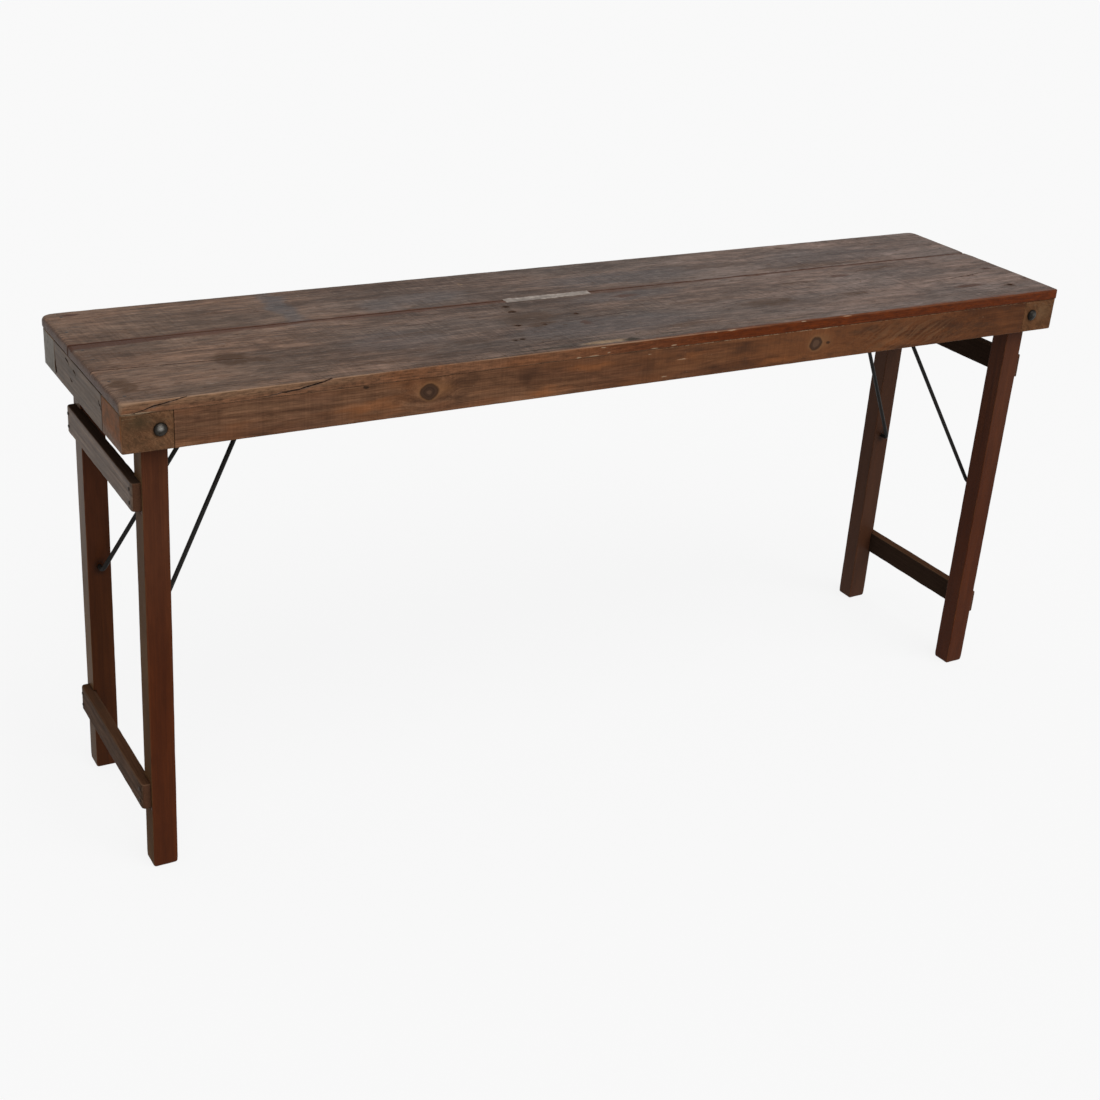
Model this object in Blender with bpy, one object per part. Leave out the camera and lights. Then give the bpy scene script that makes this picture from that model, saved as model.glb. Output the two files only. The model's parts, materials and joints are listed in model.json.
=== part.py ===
"""A folding console table made of old planks.

Two boards lie on a shallow frame of aprons, corner blocks and end rails. A leg frame hangs on two pivot
bolts at each end and folds up under the boards. A bent iron stay, hooked under the boards, holds it open.

X runs along the table from left to right, Y from front to back and Z upwards. The origin is on the floor
under the middle of the top. All sizes are in metres.
"""
import math

import bmesh
import bpy
from mathutils import Matrix, Vector

# Overall size
TABLE_LENGTH = 1.800
TABLE_DEPTH = 0.422
TABLE_HEIGHT = 0.814

# Gaps and clearances
FIT_GAP = 0.0003
HOLE_CLEARANCE = 0.00035
LEG_SIDE_CLEARANCE = 0.0008
LEG_STOP_GAP = 0.0006
LEG_TOP_CLEARANCE = 0.007
BATTEN_LEG_CLEARANCE = 0.0065
HOOK_CLEARANCE = 0.0025
CUT_OVERRUN = 0.002

# Table top
TOP_THICKNESS = 0.018
BACK_BOARD_WIDTH = 0.161
FRONT_CORNER_RADIUS = 0.003
BACK_CORNER_RADIUS = 0.011
TOP_EDGE_EASE = 0.002

# Frame under the top
FRAME_SETBACK = 0.001
RAIL_HEIGHT = 0.059
RAIL_THICKNESS = 0.030
FRONT_BLOCK_DEPTH = 0.092
BACK_BLOCK_DEPTH = 0.075
WOOD_EDGE_EASE = 0.0012

# Legs
PIVOT_INSET = 0.058
LEG_WIDTH = 0.040
LEG_DEPTH = 0.038
LEG_SPLAY = math.radians(0.5)

# Stretchers
STRETCHER_HEIGHT = 0.046
STRETCHER_THICKNESS = 0.0185
STRETCHER_LET_IN = 0.005
STRETCHER_END_MARGIN = 0.0075
UPPER_STRETCHER_DROP = 0.118
LOWER_STRETCHER_RISE = 0.1335

# Nails through the stretcher ends
NAIL_DIAMETER = 0.003
NAIL_HEAD_DIAMETER = 0.0065
NAIL_HEAD_THICKNESS = 0.0012
NAIL_BITE = 0.018
NAIL_POINT_LENGTH = 0.004
NAIL_SPACING = 0.022

# Pivot bolts, with domed heads and square necks
BOLT_DIAMETER = 0.008
BOLT_HEAD_DIAMETER = 0.0205
BOLT_HEAD_HEIGHT = 0.005
BOLT_NECK_LENGTH = 0.004
BOLT_PROJECTION = 0.003
WASHER_DIAMETER = 0.020
WASHER_THICKNESS = 0.0016
NUT_ACROSS_FLATS = 0.013
NUT_HEIGHT = 0.0065
NUT_SIDES = 6

# Stays of bent round iron
STAY_ROD_DIAMETER = 0.0075
STAY_HOLE_DROP = 0.377
STAY_PIN_DEPTH = 0.018
STAY_STANDOFF = 0.017
STAY_TOP_WIDTH = 0.118
STAY_BEND_RADIUS = 0.010
CROSSBAR_INSET = 0.2645
CROSSBAR_DROP = 0.026

# Hooks for the stays, and the battens that carry them
HOOK_WIDTH = 0.026
HOOK_THICKNESS = 0.003
HOOK_LIP = 0.004
BATTEN_WIDTH = 0.060
BATTEN_THICKNESS = 0.020

# Round-headed screws
SCREW_DIAMETER = 0.0042
SCREW_HEAD_DIAMETER = 0.008
SCREW_HEAD_HEIGHT = 0.0022
SCREW_POINT_LENGTH = 0.004
HOOK_SCREW_BITE = 0.016
BOARD_COVER = 0.006

# Fineness of round shapes
ROUND_SIDES = 16
SMALL_ROUND_SIDES = 8
ROD_SIDES = 12
CORNER_STEPS = 5
LEG_TOP_STEPS = 14
DOME_STEPS = 5
SHARP_ANGLE = math.radians(30)

# Colour, roughness and metallic value of each finish
FINISHES = {
    "top_wood": ((0.125, 0.093, 0.078), 0.62, 0.0),
    "rail_wood": ((0.118, 0.058, 0.031), 0.55, 0.0),
    "leg_wood": ((0.070, 0.024, 0.012), 0.48, 0.0),
    "stretcher_wood": ((0.090, 0.064, 0.049), 0.60, 0.0),
    "batten_wood": ((0.150, 0.092, 0.055), 0.65, 0.0),
    "black_iron": ((0.012, 0.011, 0.010), 0.45, 0.8),
    "dark_steel": ((0.090, 0.086, 0.080), 0.38, 0.9),
}

# Sides of the table: left and right along X, front and back along Y
SIDES = {"left": -1, "right": 1}
ROWS = {"front": -1, "back": 1}
BLOCK_DEPTHS = {"front": FRONT_BLOCK_DEPTH, "back": BACK_BLOCK_DEPTH}
CORNER_RADII = {"front": FRONT_CORNER_RADIUS, "back": BACK_CORNER_RADIUS}

# Heights
UNDERSIDE = TABLE_HEIGHT - TOP_THICKNESS
RAIL_TOP = UNDERSIDE - FIT_GAP
RAIL_BOTTOM = UNDERSIDE - RAIL_HEIGHT
PIVOT_HEIGHT = UNDERSIDE - LEG_TOP_CLEARANCE - LEG_WIDTH / 2

# Distances from the middle of the table along X
FRAME_END = TABLE_LENGTH / 2 - FRAME_SETBACK
PIVOT_X = TABLE_LENGTH / 2 - PIVOT_INSET
BLOCK_INNER_X = PIVOT_X - LEG_WIDTH / 2
WEB_INNER_X = PIVOT_X + LEG_WIDTH / 2 + LEG_STOP_GAP
CROSSBAR_X = TABLE_LENGTH / 2 - CROSSBAR_INSET
HOOK_INNER_RADIUS = STAY_ROD_DIAMETER / 2 + HOOK_CLEARANCE
HOOK_FACE_X = CROSSBAR_X + HOOK_INNER_RADIUS
HOOK_BACK_X = HOOK_FACE_X + HOOK_THICKNESS
BATTEN_FACE_X = HOOK_BACK_X + FIT_GAP
BATTEN_BACK_X = BATTEN_FACE_X + BATTEN_WIDTH

# Distances from the middle of the table along Y
FRAME_FACE = TABLE_DEPTH / 2 - FRAME_SETBACK
RAIL_INNER_Y = FRAME_FACE - RAIL_THICKNESS
LEG_OUTER_Y = RAIL_INNER_Y - LEG_SIDE_CLEARANCE
LEG_INNER_Y = LEG_OUTER_Y - LEG_DEPTH
LEG_MIDDLE_Y = (LEG_OUTER_Y + LEG_INNER_Y) / 2
STRETCHER_END_Y = LEG_OUTER_Y - STRETCHER_END_MARGIN
BATTEN_END_Y = LEG_INNER_Y - BATTEN_LEG_CLEARANCE
SEAM_Y = TABLE_DEPTH / 2 - BACK_BOARD_WIDTH
BATTEN_SCREW_Y = {"front": (SEAM_Y - BATTEN_END_Y) / 2, "back": (SEAM_Y + BATTEN_END_Y) / 2}

# Leg frames, measured from the pivot with the outward direction positive
STRETCHER_INNER_X = LEG_WIDTH / 2 - STRETCHER_LET_IN + FIT_GAP
STRETCHER_OUTER_X = STRETCHER_INNER_X + STRETCHER_THICKNESS
STRETCHER_LEVELS = {"upper": -UPPER_STRETCHER_DROP, "lower": LOWER_STRETCHER_RISE - PIVOT_HEIGHT}
NAIL_LEVELS = {"high": NAIL_SPACING / 2, "low": -NAIL_SPACING / 2}

# Battens
BATTEN_TOP = UNDERSIDE - FIT_GAP
BATTEN_BOTTOM = BATTEN_TOP - BATTEN_THICKNESS
BATTEN_MIDDLE = (BATTEN_TOP + BATTEN_BOTTOM) / 2

# Directions that a turned piece's head can face, as rotations of a piece whose head faces up
HEAD_TO_ROW = {"front": (math.pi / 2, 0, 0), "back": (-math.pi / 2, 0, 0)}
HEAD_OUTWARD = {"left": (0, -math.pi / 2, 0), "right": (0, math.pi / 2, 0)}
HEAD_INWARD = {"left": (0, math.pi / 2, 0), "right": (0, -math.pi / 2, 0)}
HEAD_DOWN = (math.pi, 0, 0)


def clear_scene():
    for item in list(bpy.data.objects):
        bpy.data.objects.remove(item, do_unlink=True)


def add_finish(item, finish):
    colour, roughness, metallic = FINISHES[finish]
    material = bpy.data.materials.new(f"{item.name}_finish")
    material.use_nodes = True
    shader = material.node_tree.nodes["Principled BSDF"]
    shader.inputs["Base Color"].default_value = (*colour, 1.0)
    shader.inputs["Roughness"].default_value = roughness
    shader.inputs["Metallic"].default_value = metallic
    item.data.materials.append(material)


def add_object(name, shape, parent=None, location=(0, 0, 0), rotation=(0, 0, 0)):
    mesh = bpy.data.meshes.new(name)
    shape.to_mesh(mesh)
    shape.free()
    mesh.shade_smooth()
    mesh.set_sharp_from_angle(angle=SHARP_ANGLE)
    item = bpy.data.objects.new(name, mesh)
    item.location = location
    item.rotation_euler = rotation
    item.parent = parent
    bpy.context.scene.collection.objects.link(item)
    return item


def add_piece(name, shape, finish, parent=None, location=(0, 0, 0), rotation=(0, 0, 0)):
    item = add_object(name, shape, parent, location, rotation)
    add_finish(item, finish)
    return item


def add_axis(name, parent=None, location=(0, 0, 0), rotation=(0, 0, 0)):
    """An empty on a joint's axis, which carries the pieces that turn about it."""
    axis = bpy.data.objects.new(name, None)
    axis.location = location
    axis.rotation_euler = rotation
    axis.parent = parent
    bpy.context.scene.collection.objects.link(axis)
    return axis


def combine(piece, shape, operation, location=(0, 0, 0), rotation=(0, 0, 0)):
    """Cut a shape out of a piece, or join it on, in the frame of the piece's parent."""
    tool_name = f"{piece.name}_tool_{len(piece.modifiers)}"
    tool = add_object(tool_name, shape, piece.parent, location, rotation)
    tool.hide_render = True
    tool.display_type = "WIRE"
    modifier = piece.modifiers.new(tool_name, "BOOLEAN")
    modifier.operation = operation
    modifier.solver = "EXACT"
    modifier.object = tool


def cut(piece, shape, location=(0, 0, 0), rotation=(0, 0, 0)):
    combine(piece, shape, "DIFFERENCE", location, rotation)


def ease_edges(shape, width):
    """Chamfer every sharp outer edge."""
    sharp = [edge for edge in shape.edges if edge.calc_face_angle_signed() > SHARP_ANGLE]
    bmesh.ops.bevel(shape, geom=sharp, offset=width, segments=1, profile=0.5, affect="EDGES")


def prism(outline, axis, low, high, ease=0.0):
    """A flat outline stretched along an axis. Its two coordinates follow X, Y, Z order without the axis."""
    order = {"x": (2, 0, 1), "y": (0, 2, 1), "z": (0, 1, 2)}[axis]

    def ring(level):
        corners = []
        for first, second in outline:
            values = (first, second, level)
            corners.append(shape.verts.new([values[index] for index in order]))
        return corners

    shape = bmesh.new()
    start = ring(low)
    end = ring(high)
    shape.faces.new(start)
    shape.faces.new(end)
    for index in range(len(outline)):
        after = (index + 1) % len(outline)
        shape.faces.new((start[index], start[after], end[after], end[index]))
    bmesh.ops.recalc_face_normals(shape, faces=shape.faces)
    if ease:
        ease_edges(shape, ease)
    return shape


def box(xs, ys, zs, ease=0.0):
    """A block between two X, two Y and two Z values, each pair in any order."""
    rectangle = [(min(xs), min(ys)), (max(xs), min(ys)), (max(xs), max(ys)), (min(xs), max(ys))]
    return prism(rectangle, "z", min(zs), max(zs), ease)


def turned(profile, sides=ROUND_SIDES):
    """A round solid about Z. The profile runs from the top of its head down to its point."""
    shape = bmesh.new()
    rings = []
    for radius, height in profile:
        if radius == 0:
            rings.append([shape.verts.new((0, 0, height))] * sides)
            continue
        turns = [2 * math.pi * step / sides for step in range(sides)]
        rings.append([shape.verts.new((radius * math.cos(t), radius * math.sin(t), height)) for t in turns])
    for upper, lower in zip(rings, rings[1:]):
        for index in range(sides):
            after = (index + 1) % sides
            corners = dict.fromkeys((upper[index], upper[after], lower[after], lower[index]))
            shape.faces.new(corners)
    bmesh.ops.recalc_face_normals(shape, faces=shape.faces)
    return shape


def rod_shape(diameter, low, high, sides=ROUND_SIDES):
    """A plain round bar along Z."""
    radius = diameter / 2
    return turned([(0, high), (radius, high), (radius, low), (0, low)], sides)


def hole_shape(diameter, low, high, sides=ROUND_SIDES):
    """A cutter for a hole that clears a round bar of this diameter."""
    return rod_shape(diameter + 2 * HOLE_CLEARANCE, low, high, sides)


def nail_hole_shape(low):
    """A cutter for a nail's hole, from past its head down to a level below its seat."""
    return hole_shape(NAIL_DIAMETER, low, CUT_OVERRUN, SMALL_ROUND_SIDES)


def screw_hole_shape(low):
    """A cutter for a screw's hole, from past its head down to a level below its seat."""
    return hole_shape(SCREW_DIAMETER, low, CUT_OVERRUN, SMALL_ROUND_SIDES)


def arc(centre, radius, start, end, steps):
    points = []
    for step in range(steps + 1):
        angle = start + (end - start) * step / steps
        points.append((centre[0] + radius * math.cos(angle), centre[1] + radius * math.sin(angle)))
    return points


def round_corner(before, corner, after, radius):
    """The arc that replaces a corner of a flat path."""
    corner = Vector(corner)
    towards_before = (Vector(before) - corner).normalized()
    towards_after = (Vector(after) - corner).normalized()
    half_angle = towards_before.angle(towards_after) / 2
    centre = corner + (towards_before + towards_after).normalized() * radius / math.sin(half_angle)
    spoke = corner + towards_before * radius / math.tan(half_angle) - centre
    turn = math.pi - 2 * half_angle
    if towards_before.x * towards_after.y > towards_before.y * towards_after.x:
        turn = -turn
    points = []
    for step in range(CORNER_STEPS + 1):
        swing = Matrix.Rotation(turn * step / CORNER_STEPS, 2)
        points.append(tuple(centre + swing @ spoke))
    return points


def bent_rod(corners, diameter, bend_radius):
    """A round rod in the YZ plane that runs through the corners, with a round bend at each one."""
    path = [corners[0]]
    for before, corner, after in zip(corners, corners[1:], corners[2:]):
        path.extend(round_corner(before, corner, after, bend_radius))
    path.append(corners[-1])
    points = [Vector((0, y, z)) for y, z in path]
    shape = bmesh.new()
    rings = []
    for index, point in enumerate(points):
        ahead = (points[min(index + 1, len(points) - 1)] - point).normalized()
        behind = (point - points[max(index - 1, 0)]).normalized()
        tangent = (ahead + behind).normalized()
        across = tangent.cross(Vector((1, 0, 0)))
        mitre = diameter / 2 / max(tangent.dot(ahead), tangent.dot(behind))
        ring = []
        for step in range(ROD_SIDES):
            angle = 2 * math.pi * step / ROD_SIDES
            offset = across * mitre * math.cos(angle) + Vector((diameter / 2 * math.sin(angle), 0, 0))
            ring.append(shape.verts.new(point + offset))
        rings.append(ring)
    shape.faces.new(rings[0])
    shape.faces.new(rings[-1])
    for here, there in zip(rings, rings[1:]):
        for step in range(ROD_SIDES):
            after = (step + 1) % ROD_SIDES
            shape.faces.new((here[step], here[after], there[after], there[step]))
    bmesh.ops.recalc_face_normals(shape, faces=shape.faces)
    return shape


def screw_shape(bite_length):
    """A round-headed screw with its head's seat at height zero and its point downwards."""
    head = SCREW_HEAD_DIAMETER / 2
    shank = SCREW_DIAMETER / 2
    profile = [(0, SCREW_HEAD_HEIGHT)]
    for step in range(1, DOME_STEPS + 1):
        angle = math.pi / 2 * step / DOME_STEPS
        profile.append((head * math.sin(angle), SCREW_HEAD_HEIGHT * math.cos(angle)))
    profile += [(shank, 0), (shank, SCREW_POINT_LENGTH - bite_length), (0, -bite_length)]
    return turned(profile, SMALL_ROUND_SIDES)


def make_top_boards():
    boards = {
        "front": (-TABLE_DEPTH / 2, SEAM_Y - FIT_GAP / 2),
        "back": (TABLE_DEPTH / 2, SEAM_Y + FIT_GAP / 2),
    }
    made = {}
    end = TABLE_LENGTH / 2
    for row, (edge, seam) in boards.items():
        radius = CORNER_RADII[row]
        outline = [(-end, seam)]
        outline += round_corner((-end, seam), (-end, edge), (end, edge), radius)
        outline += round_corner((-end, edge), (end, edge), (end, seam), radius)
        outline += [(end, seam)]
        shape = prism(outline, "z", UNDERSIDE, TABLE_HEIGHT, TOP_EDGE_EASE)
        made[row] = add_piece(f"top_board_{row}", shape, "top_wood")
    return made


def make_aprons():
    end = BLOCK_INNER_X - FIT_GAP
    for row, way in ROWS.items():
        ys = (way * RAIL_INNER_Y, way * FRAME_FACE)
        shape = box((-end, end), ys, (RAIL_BOTTOM, RAIL_TOP), WOOD_EDGE_EASE)
        add_piece(f"apron_{row}", shape, "rail_wood")


def make_end_rails():
    front_end = FIT_GAP - FRAME_FACE + FRONT_BLOCK_DEPTH
    back_end = FRAME_FACE - BACK_BLOCK_DEPTH - FIT_GAP
    inner = FRAME_END - RAIL_THICKNESS
    for name, side in SIDES.items():
        xs = (side * inner, side * FRAME_END)
        shape = box(xs, (front_end, back_end), (RAIL_BOTTOM, RAIL_TOP), WOOD_EDGE_EASE)
        add_piece(f"end_rail_{name}", shape, "stretcher_wood")


def make_corner_block(name, side, row, way):
    """A block with a rebate for the leg: a cheek beside the leg and a web that stops it."""
    web_end = FRAME_FACE - BLOCK_DEPTHS[row]
    web_corner = (FRAME_END, web_end)
    cheek_corner = (BLOCK_INNER_X, FRAME_FACE)
    outline = [(WEB_INNER_X, web_end), web_corner]
    outline += round_corner(web_corner, (FRAME_END, FRAME_FACE), cheek_corner, CORNER_RADII[row])
    outline += [cheek_corner, (BLOCK_INNER_X, RAIL_INNER_Y), (WEB_INNER_X, RAIL_INNER_Y)]
    placed = [(side * x, way * y) for x, y in outline]
    shape = prism(placed, "z", RAIL_BOTTOM, RAIL_TOP, WOOD_EDGE_EASE)
    block = add_piece(f"corner_block_{row}_{name}", shape, "rail_wood")
    place = (side * PIVOT_X, way * FRAME_FACE, PIVOT_HEIGHT)
    cut(block, hole_shape(BOLT_DIAMETER, -RAIL_THICKNESS - CUT_OVERRUN, CUT_OVERRUN), place, HEAD_TO_ROW[row])
    reach = BOLT_DIAMETER / 2 + HOLE_CLEARANCE
    pocket = box((-reach, reach), (-reach, reach), (-BOLT_NECK_LENGTH - FIT_GAP, CUT_OVERRUN))
    cut(block, pocket, place, HEAD_TO_ROW[row])


def make_pivot_fastening(name, side, row, way):
    """A bolt through the corner block and the leg, with its washer and nut inside."""
    washer_seat = LEG_INNER_Y - FIT_GAP
    nut_seat = washer_seat - WASHER_THICKNESS - FIT_GAP
    nut_end = nut_seat - NUT_HEIGHT
    head_seat = FRAME_FACE + FIT_GAP
    length = head_seat - nut_end + BOLT_PROJECTION
    spot = f"{row}_{name}"
    facing = HEAD_TO_ROW[row]

    head = BOLT_HEAD_DIAMETER / 2
    shank = BOLT_DIAMETER / 2
    profile = [(0, BOLT_HEAD_HEIGHT)]
    for step in range(1, DOME_STEPS + 1):
        angle = math.pi / 2 * step / DOME_STEPS
        profile.append((head * math.sin(angle), BOLT_HEAD_HEIGHT * math.cos(angle)))
    profile += [(shank, 0), (shank, -length), (0, -length)]
    place = (side * PIVOT_X, way * head_seat, PIVOT_HEIGHT)
    bolt = add_piece(f"pivot_bolt_{spot}", turned(profile), "dark_steel", None, place, facing)
    neck = box((-shank, shank), (-shank, shank), (-BOLT_NECK_LENGTH, BOLT_HEAD_HEIGHT / 2))
    combine(bolt, neck, "UNION", place, facing)

    place = (side * PIVOT_X, way * washer_seat, PIVOT_HEIGHT)
    shape = rod_shape(WASHER_DIAMETER, -WASHER_THICKNESS, 0)
    washer = add_piece(f"pivot_washer_{spot}", shape, "dark_steel", None, place, facing)
    cut(washer, hole_shape(BOLT_DIAMETER, -WASHER_THICKNESS - CUT_OVERRUN, CUT_OVERRUN), place, facing)

    place = (side * PIVOT_X, way * nut_seat, PIVOT_HEIGHT)
    corner_radius = NUT_ACROSS_FLATS / 2 / math.cos(math.pi / NUT_SIDES)
    hexagon = arc((0, 0), corner_radius, 0, 2 * math.pi, NUT_SIDES)[:-1]
    shape = prism(hexagon, "z", -NUT_HEIGHT, 0)
    nut = add_piece(f"pivot_nut_{spot}", shape, "dark_steel", None, place, facing)
    cut(nut, hole_shape(BOLT_DIAMETER, -NUT_HEIGHT - CUT_OVERRUN, CUT_OVERRUN), place, facing)


def make_leg(name, side, row, way, axis):
    """A leg with a half-round top about the pivot and a foot that is level when the leg stands splayed."""
    lean = -side * LEG_SPLAY

    def foot_level(x):
        return (x * math.sin(lean) - PIVOT_HEIGHT) / math.cos(lean)

    half = LEG_WIDTH / 2
    outline = arc((0, 0), half, 0, math.pi, LEG_TOP_STEPS)
    outline += [(-half, foot_level(-half)), (half, foot_level(half))]
    faces = sorted((way * LEG_INNER_Y, way * LEG_OUTER_Y))
    leg = add_piece(f"leg_{row}_{name}", prism(outline, "y", *faces, WOOD_EDGE_EASE), "leg_wood", axis)
    facing = HEAD_TO_ROW[row]
    bolt_hole = hole_shape(BOLT_DIAMETER, -CUT_OVERRUN, LEG_DEPTH + CUT_OVERRUN)
    cut(leg, bolt_hole, (0, way * LEG_INNER_Y, 0), facing)
    pin_hole = hole_shape(STAY_ROD_DIAMETER, -CUT_OVERRUN, STAY_PIN_DEPTH + FIT_GAP)
    cut(leg, pin_hole, (0, way * LEG_INNER_Y, -STAY_HOLE_DROP), facing)
    housing_floor = STRETCHER_INNER_X - FIT_GAP
    for level in STRETCHER_LEVELS.values():
        reach = STRETCHER_HEIGHT / 2 + FIT_GAP
        xs = (side * housing_floor, side * (half + CUT_OVERRUN))
        ys = (way * (LEG_INNER_Y - CUT_OVERRUN), way * (STRETCHER_END_Y + FIT_GAP))
        cut(leg, box(xs, ys, (level - reach, level + reach)))
        for offset in NAIL_LEVELS.values():
            place = (side * STRETCHER_OUTER_X, way * LEG_MIDDLE_Y, level + offset)
            nail_hole = nail_hole_shape(-STRETCHER_THICKNESS - NAIL_BITE - FIT_GAP)
            cut(leg, nail_hole, place, HEAD_OUTWARD[name])


def make_stretcher(name, side, tier, axis):
    level = STRETCHER_LEVELS[tier]
    zs = (level - STRETCHER_HEIGHT / 2, level + STRETCHER_HEIGHT / 2)
    xs = (side * STRETCHER_INNER_X, side * STRETCHER_OUTER_X)
    shape = box(xs, (-STRETCHER_END_Y, STRETCHER_END_Y), zs, WOOD_EDGE_EASE)
    stretcher = add_piece(f"stretcher_{tier}_{name}", shape, "stretcher_wood", axis)
    for row, way in ROWS.items():
        for height, offset in NAIL_LEVELS.items():
            place = (side * STRETCHER_OUTER_X, way * LEG_MIDDLE_Y, level + offset)
            cut(stretcher, nail_hole_shape(-STRETCHER_THICKNESS - CUT_OVERRUN), place, HEAD_OUTWARD[name])
            make_nail(f"nail_{tier}_{row}_{name}_{height}", name, side, place, axis)


def make_nail(node, name, side, place, axis):
    head = NAIL_HEAD_DIAMETER / 2
    shank = NAIL_DIAMETER / 2
    tip = -STRETCHER_THICKNESS - NAIL_BITE
    profile = [(0, NAIL_HEAD_THICKNESS), (head, NAIL_HEAD_THICKNESS), (head, 0)]
    profile += [(shank, 0), (shank, tip + NAIL_POINT_LENGTH), (0, tip)]
    seat = (place[0] + side * FIT_GAP, place[1], place[2])
    shape = turned(profile, SMALL_ROUND_SIDES)
    add_piece(node, shape, "dark_steel", axis, seat, HEAD_OUTWARD[name])


def make_stay(name, side, leg_axis):
    """A U of bent rod that turns in the legs and reaches up to its hook, built along Z from its pins."""
    lean = -side * LEG_SPLAY
    stay_axis = add_axis(f"{name}_stay_axis", leg_axis, (0, 0, -STAY_HOLE_DROP))
    pins_x = side * PIVOT_X - STAY_HOLE_DROP * math.sin(lean)
    pins_z = PIVOT_HEIGHT - STAY_HOLE_DROP * math.cos(lean)
    reach = Vector((side * CROSSBAR_X - pins_x, UNDERSIDE - CROSSBAR_DROP - pins_z))
    tilt = math.atan2(reach.x, reach.y)
    pin_end = LEG_INNER_Y + STAY_PIN_DEPTH
    arm_foot = LEG_INNER_Y - STAY_STANDOFF
    arm_top = STAY_TOP_WIDTH / 2
    half = [(pin_end, 0), (arm_foot, 0), (arm_top, reach.length)]
    corners = [(-y, z) for y, z in half] + half[::-1]
    shape = bent_rod(corners, STAY_ROD_DIAMETER, STAY_BEND_RADIUS)
    add_piece(f"stay_{name}", shape, "black_iron", stay_axis, (0, 0, 0), (0, tilt - lean, 0))


def make_hook(name, side):
    """A hooked strap on the batten's inner face. Its mouth faces the middle of the table."""
    centre = (CROSSBAR_X, UNDERSIDE - CROSSBAR_DROP)
    outer_radius = HOOK_INNER_RADIUS + HOOK_THICKNESS
    lip_end = CROSSBAR_X - HOOK_LIP
    outline = [(HOOK_FACE_X, BATTEN_TOP), (HOOK_BACK_X, BATTEN_TOP)]
    outline += arc(centre, outer_radius, 0, -math.pi / 2, CORNER_STEPS)
    outline += [(lip_end, centre[1] - outer_radius), (lip_end, centre[1] - HOOK_INNER_RADIUS)]
    outline += arc(centre, HOOK_INNER_RADIUS, -math.pi / 2, 0, CORNER_STEPS)
    placed = [(side * x, z) for x, z in outline]
    hook = add_piece(f"stay_hook_{name}", prism(placed, "y", -HOOK_WIDTH / 2, HOOK_WIDTH / 2), "black_iron")
    place = (side * HOOK_FACE_X, 0, BATTEN_MIDDLE)
    cut(hook, screw_hole_shape(-HOOK_THICKNESS - CUT_OVERRUN), place, HEAD_INWARD[name])
    seat = (side * (HOOK_FACE_X - FIT_GAP), 0, BATTEN_MIDDLE)
    length = HOOK_THICKNESS + HOOK_SCREW_BITE
    add_piece(f"hook_screw_{name}", screw_shape(length), "dark_steel", None, seat, HEAD_INWARD[name])


def make_batten(name, side, boards):
    """A cross batten screwed to both boards from below, with the hook's screw in its inner face."""
    xs = (side * BATTEN_FACE_X, side * BATTEN_BACK_X)
    shape = box(xs, (-BATTEN_END_Y, BATTEN_END_Y), (BATTEN_BOTTOM, BATTEN_TOP), WOOD_EDGE_EASE)
    batten = add_piece(f"batten_{name}", shape, "batten_wood")
    place = (side * HOOK_FACE_X, 0, BATTEN_MIDDLE)
    cut(batten, screw_hole_shape(-HOOK_THICKNESS - HOOK_SCREW_BITE - FIT_GAP), place, HEAD_INWARD[name])
    length = BATTEN_THICKNESS + TOP_THICKNESS - BOARD_COVER
    middle = (BATTEN_FACE_X + BATTEN_BACK_X) / 2
    for row, y in BATTEN_SCREW_Y.items():
        place = (side * middle, y, BATTEN_BOTTOM)
        cut(batten, screw_hole_shape(-BATTEN_THICKNESS - CUT_OVERRUN), place, HEAD_DOWN)
        cut(boards[row], screw_hole_shape(-length - FIT_GAP), place, HEAD_DOWN)
        seat = (side * middle, y, BATTEN_BOTTOM - FIT_GAP)
        add_piece(f"batten_screw_{row}_{name}", screw_shape(length), "dark_steel", None, seat, HEAD_DOWN)


def make_leg_frame(name, side):
    place = (side * PIVOT_X, 0, PIVOT_HEIGHT)
    axis = add_axis(f"{name}_leg_axis", None, place, (0, -side * LEG_SPLAY, 0))
    for row, way in ROWS.items():
        make_leg(name, side, row, way, axis)
    for tier in STRETCHER_LEVELS:
        make_stretcher(name, side, tier, axis)
    make_stay(name, side, axis)


def main():
    clear_scene()
    boards = make_top_boards()
    make_aprons()
    make_end_rails()
    for name, side in SIDES.items():
        for row, way in ROWS.items():
            make_corner_block(name, side, row, way)
            make_pivot_fastening(name, side, row, way)
        make_batten(name, side, boards)
        make_hook(name, side)
        make_leg_frame(name, side)


main()
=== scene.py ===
"""The finish of a folding console table of old planks, laid over its solid model.

Places and sizes are in metres in the model's frame: X along the table, Y to the back, Z up from the floor.
"""
import json
import math

import bmesh
import bpy
import numpy as np
from mathutils import Matrix, Quaternion, Vector, noise

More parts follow.
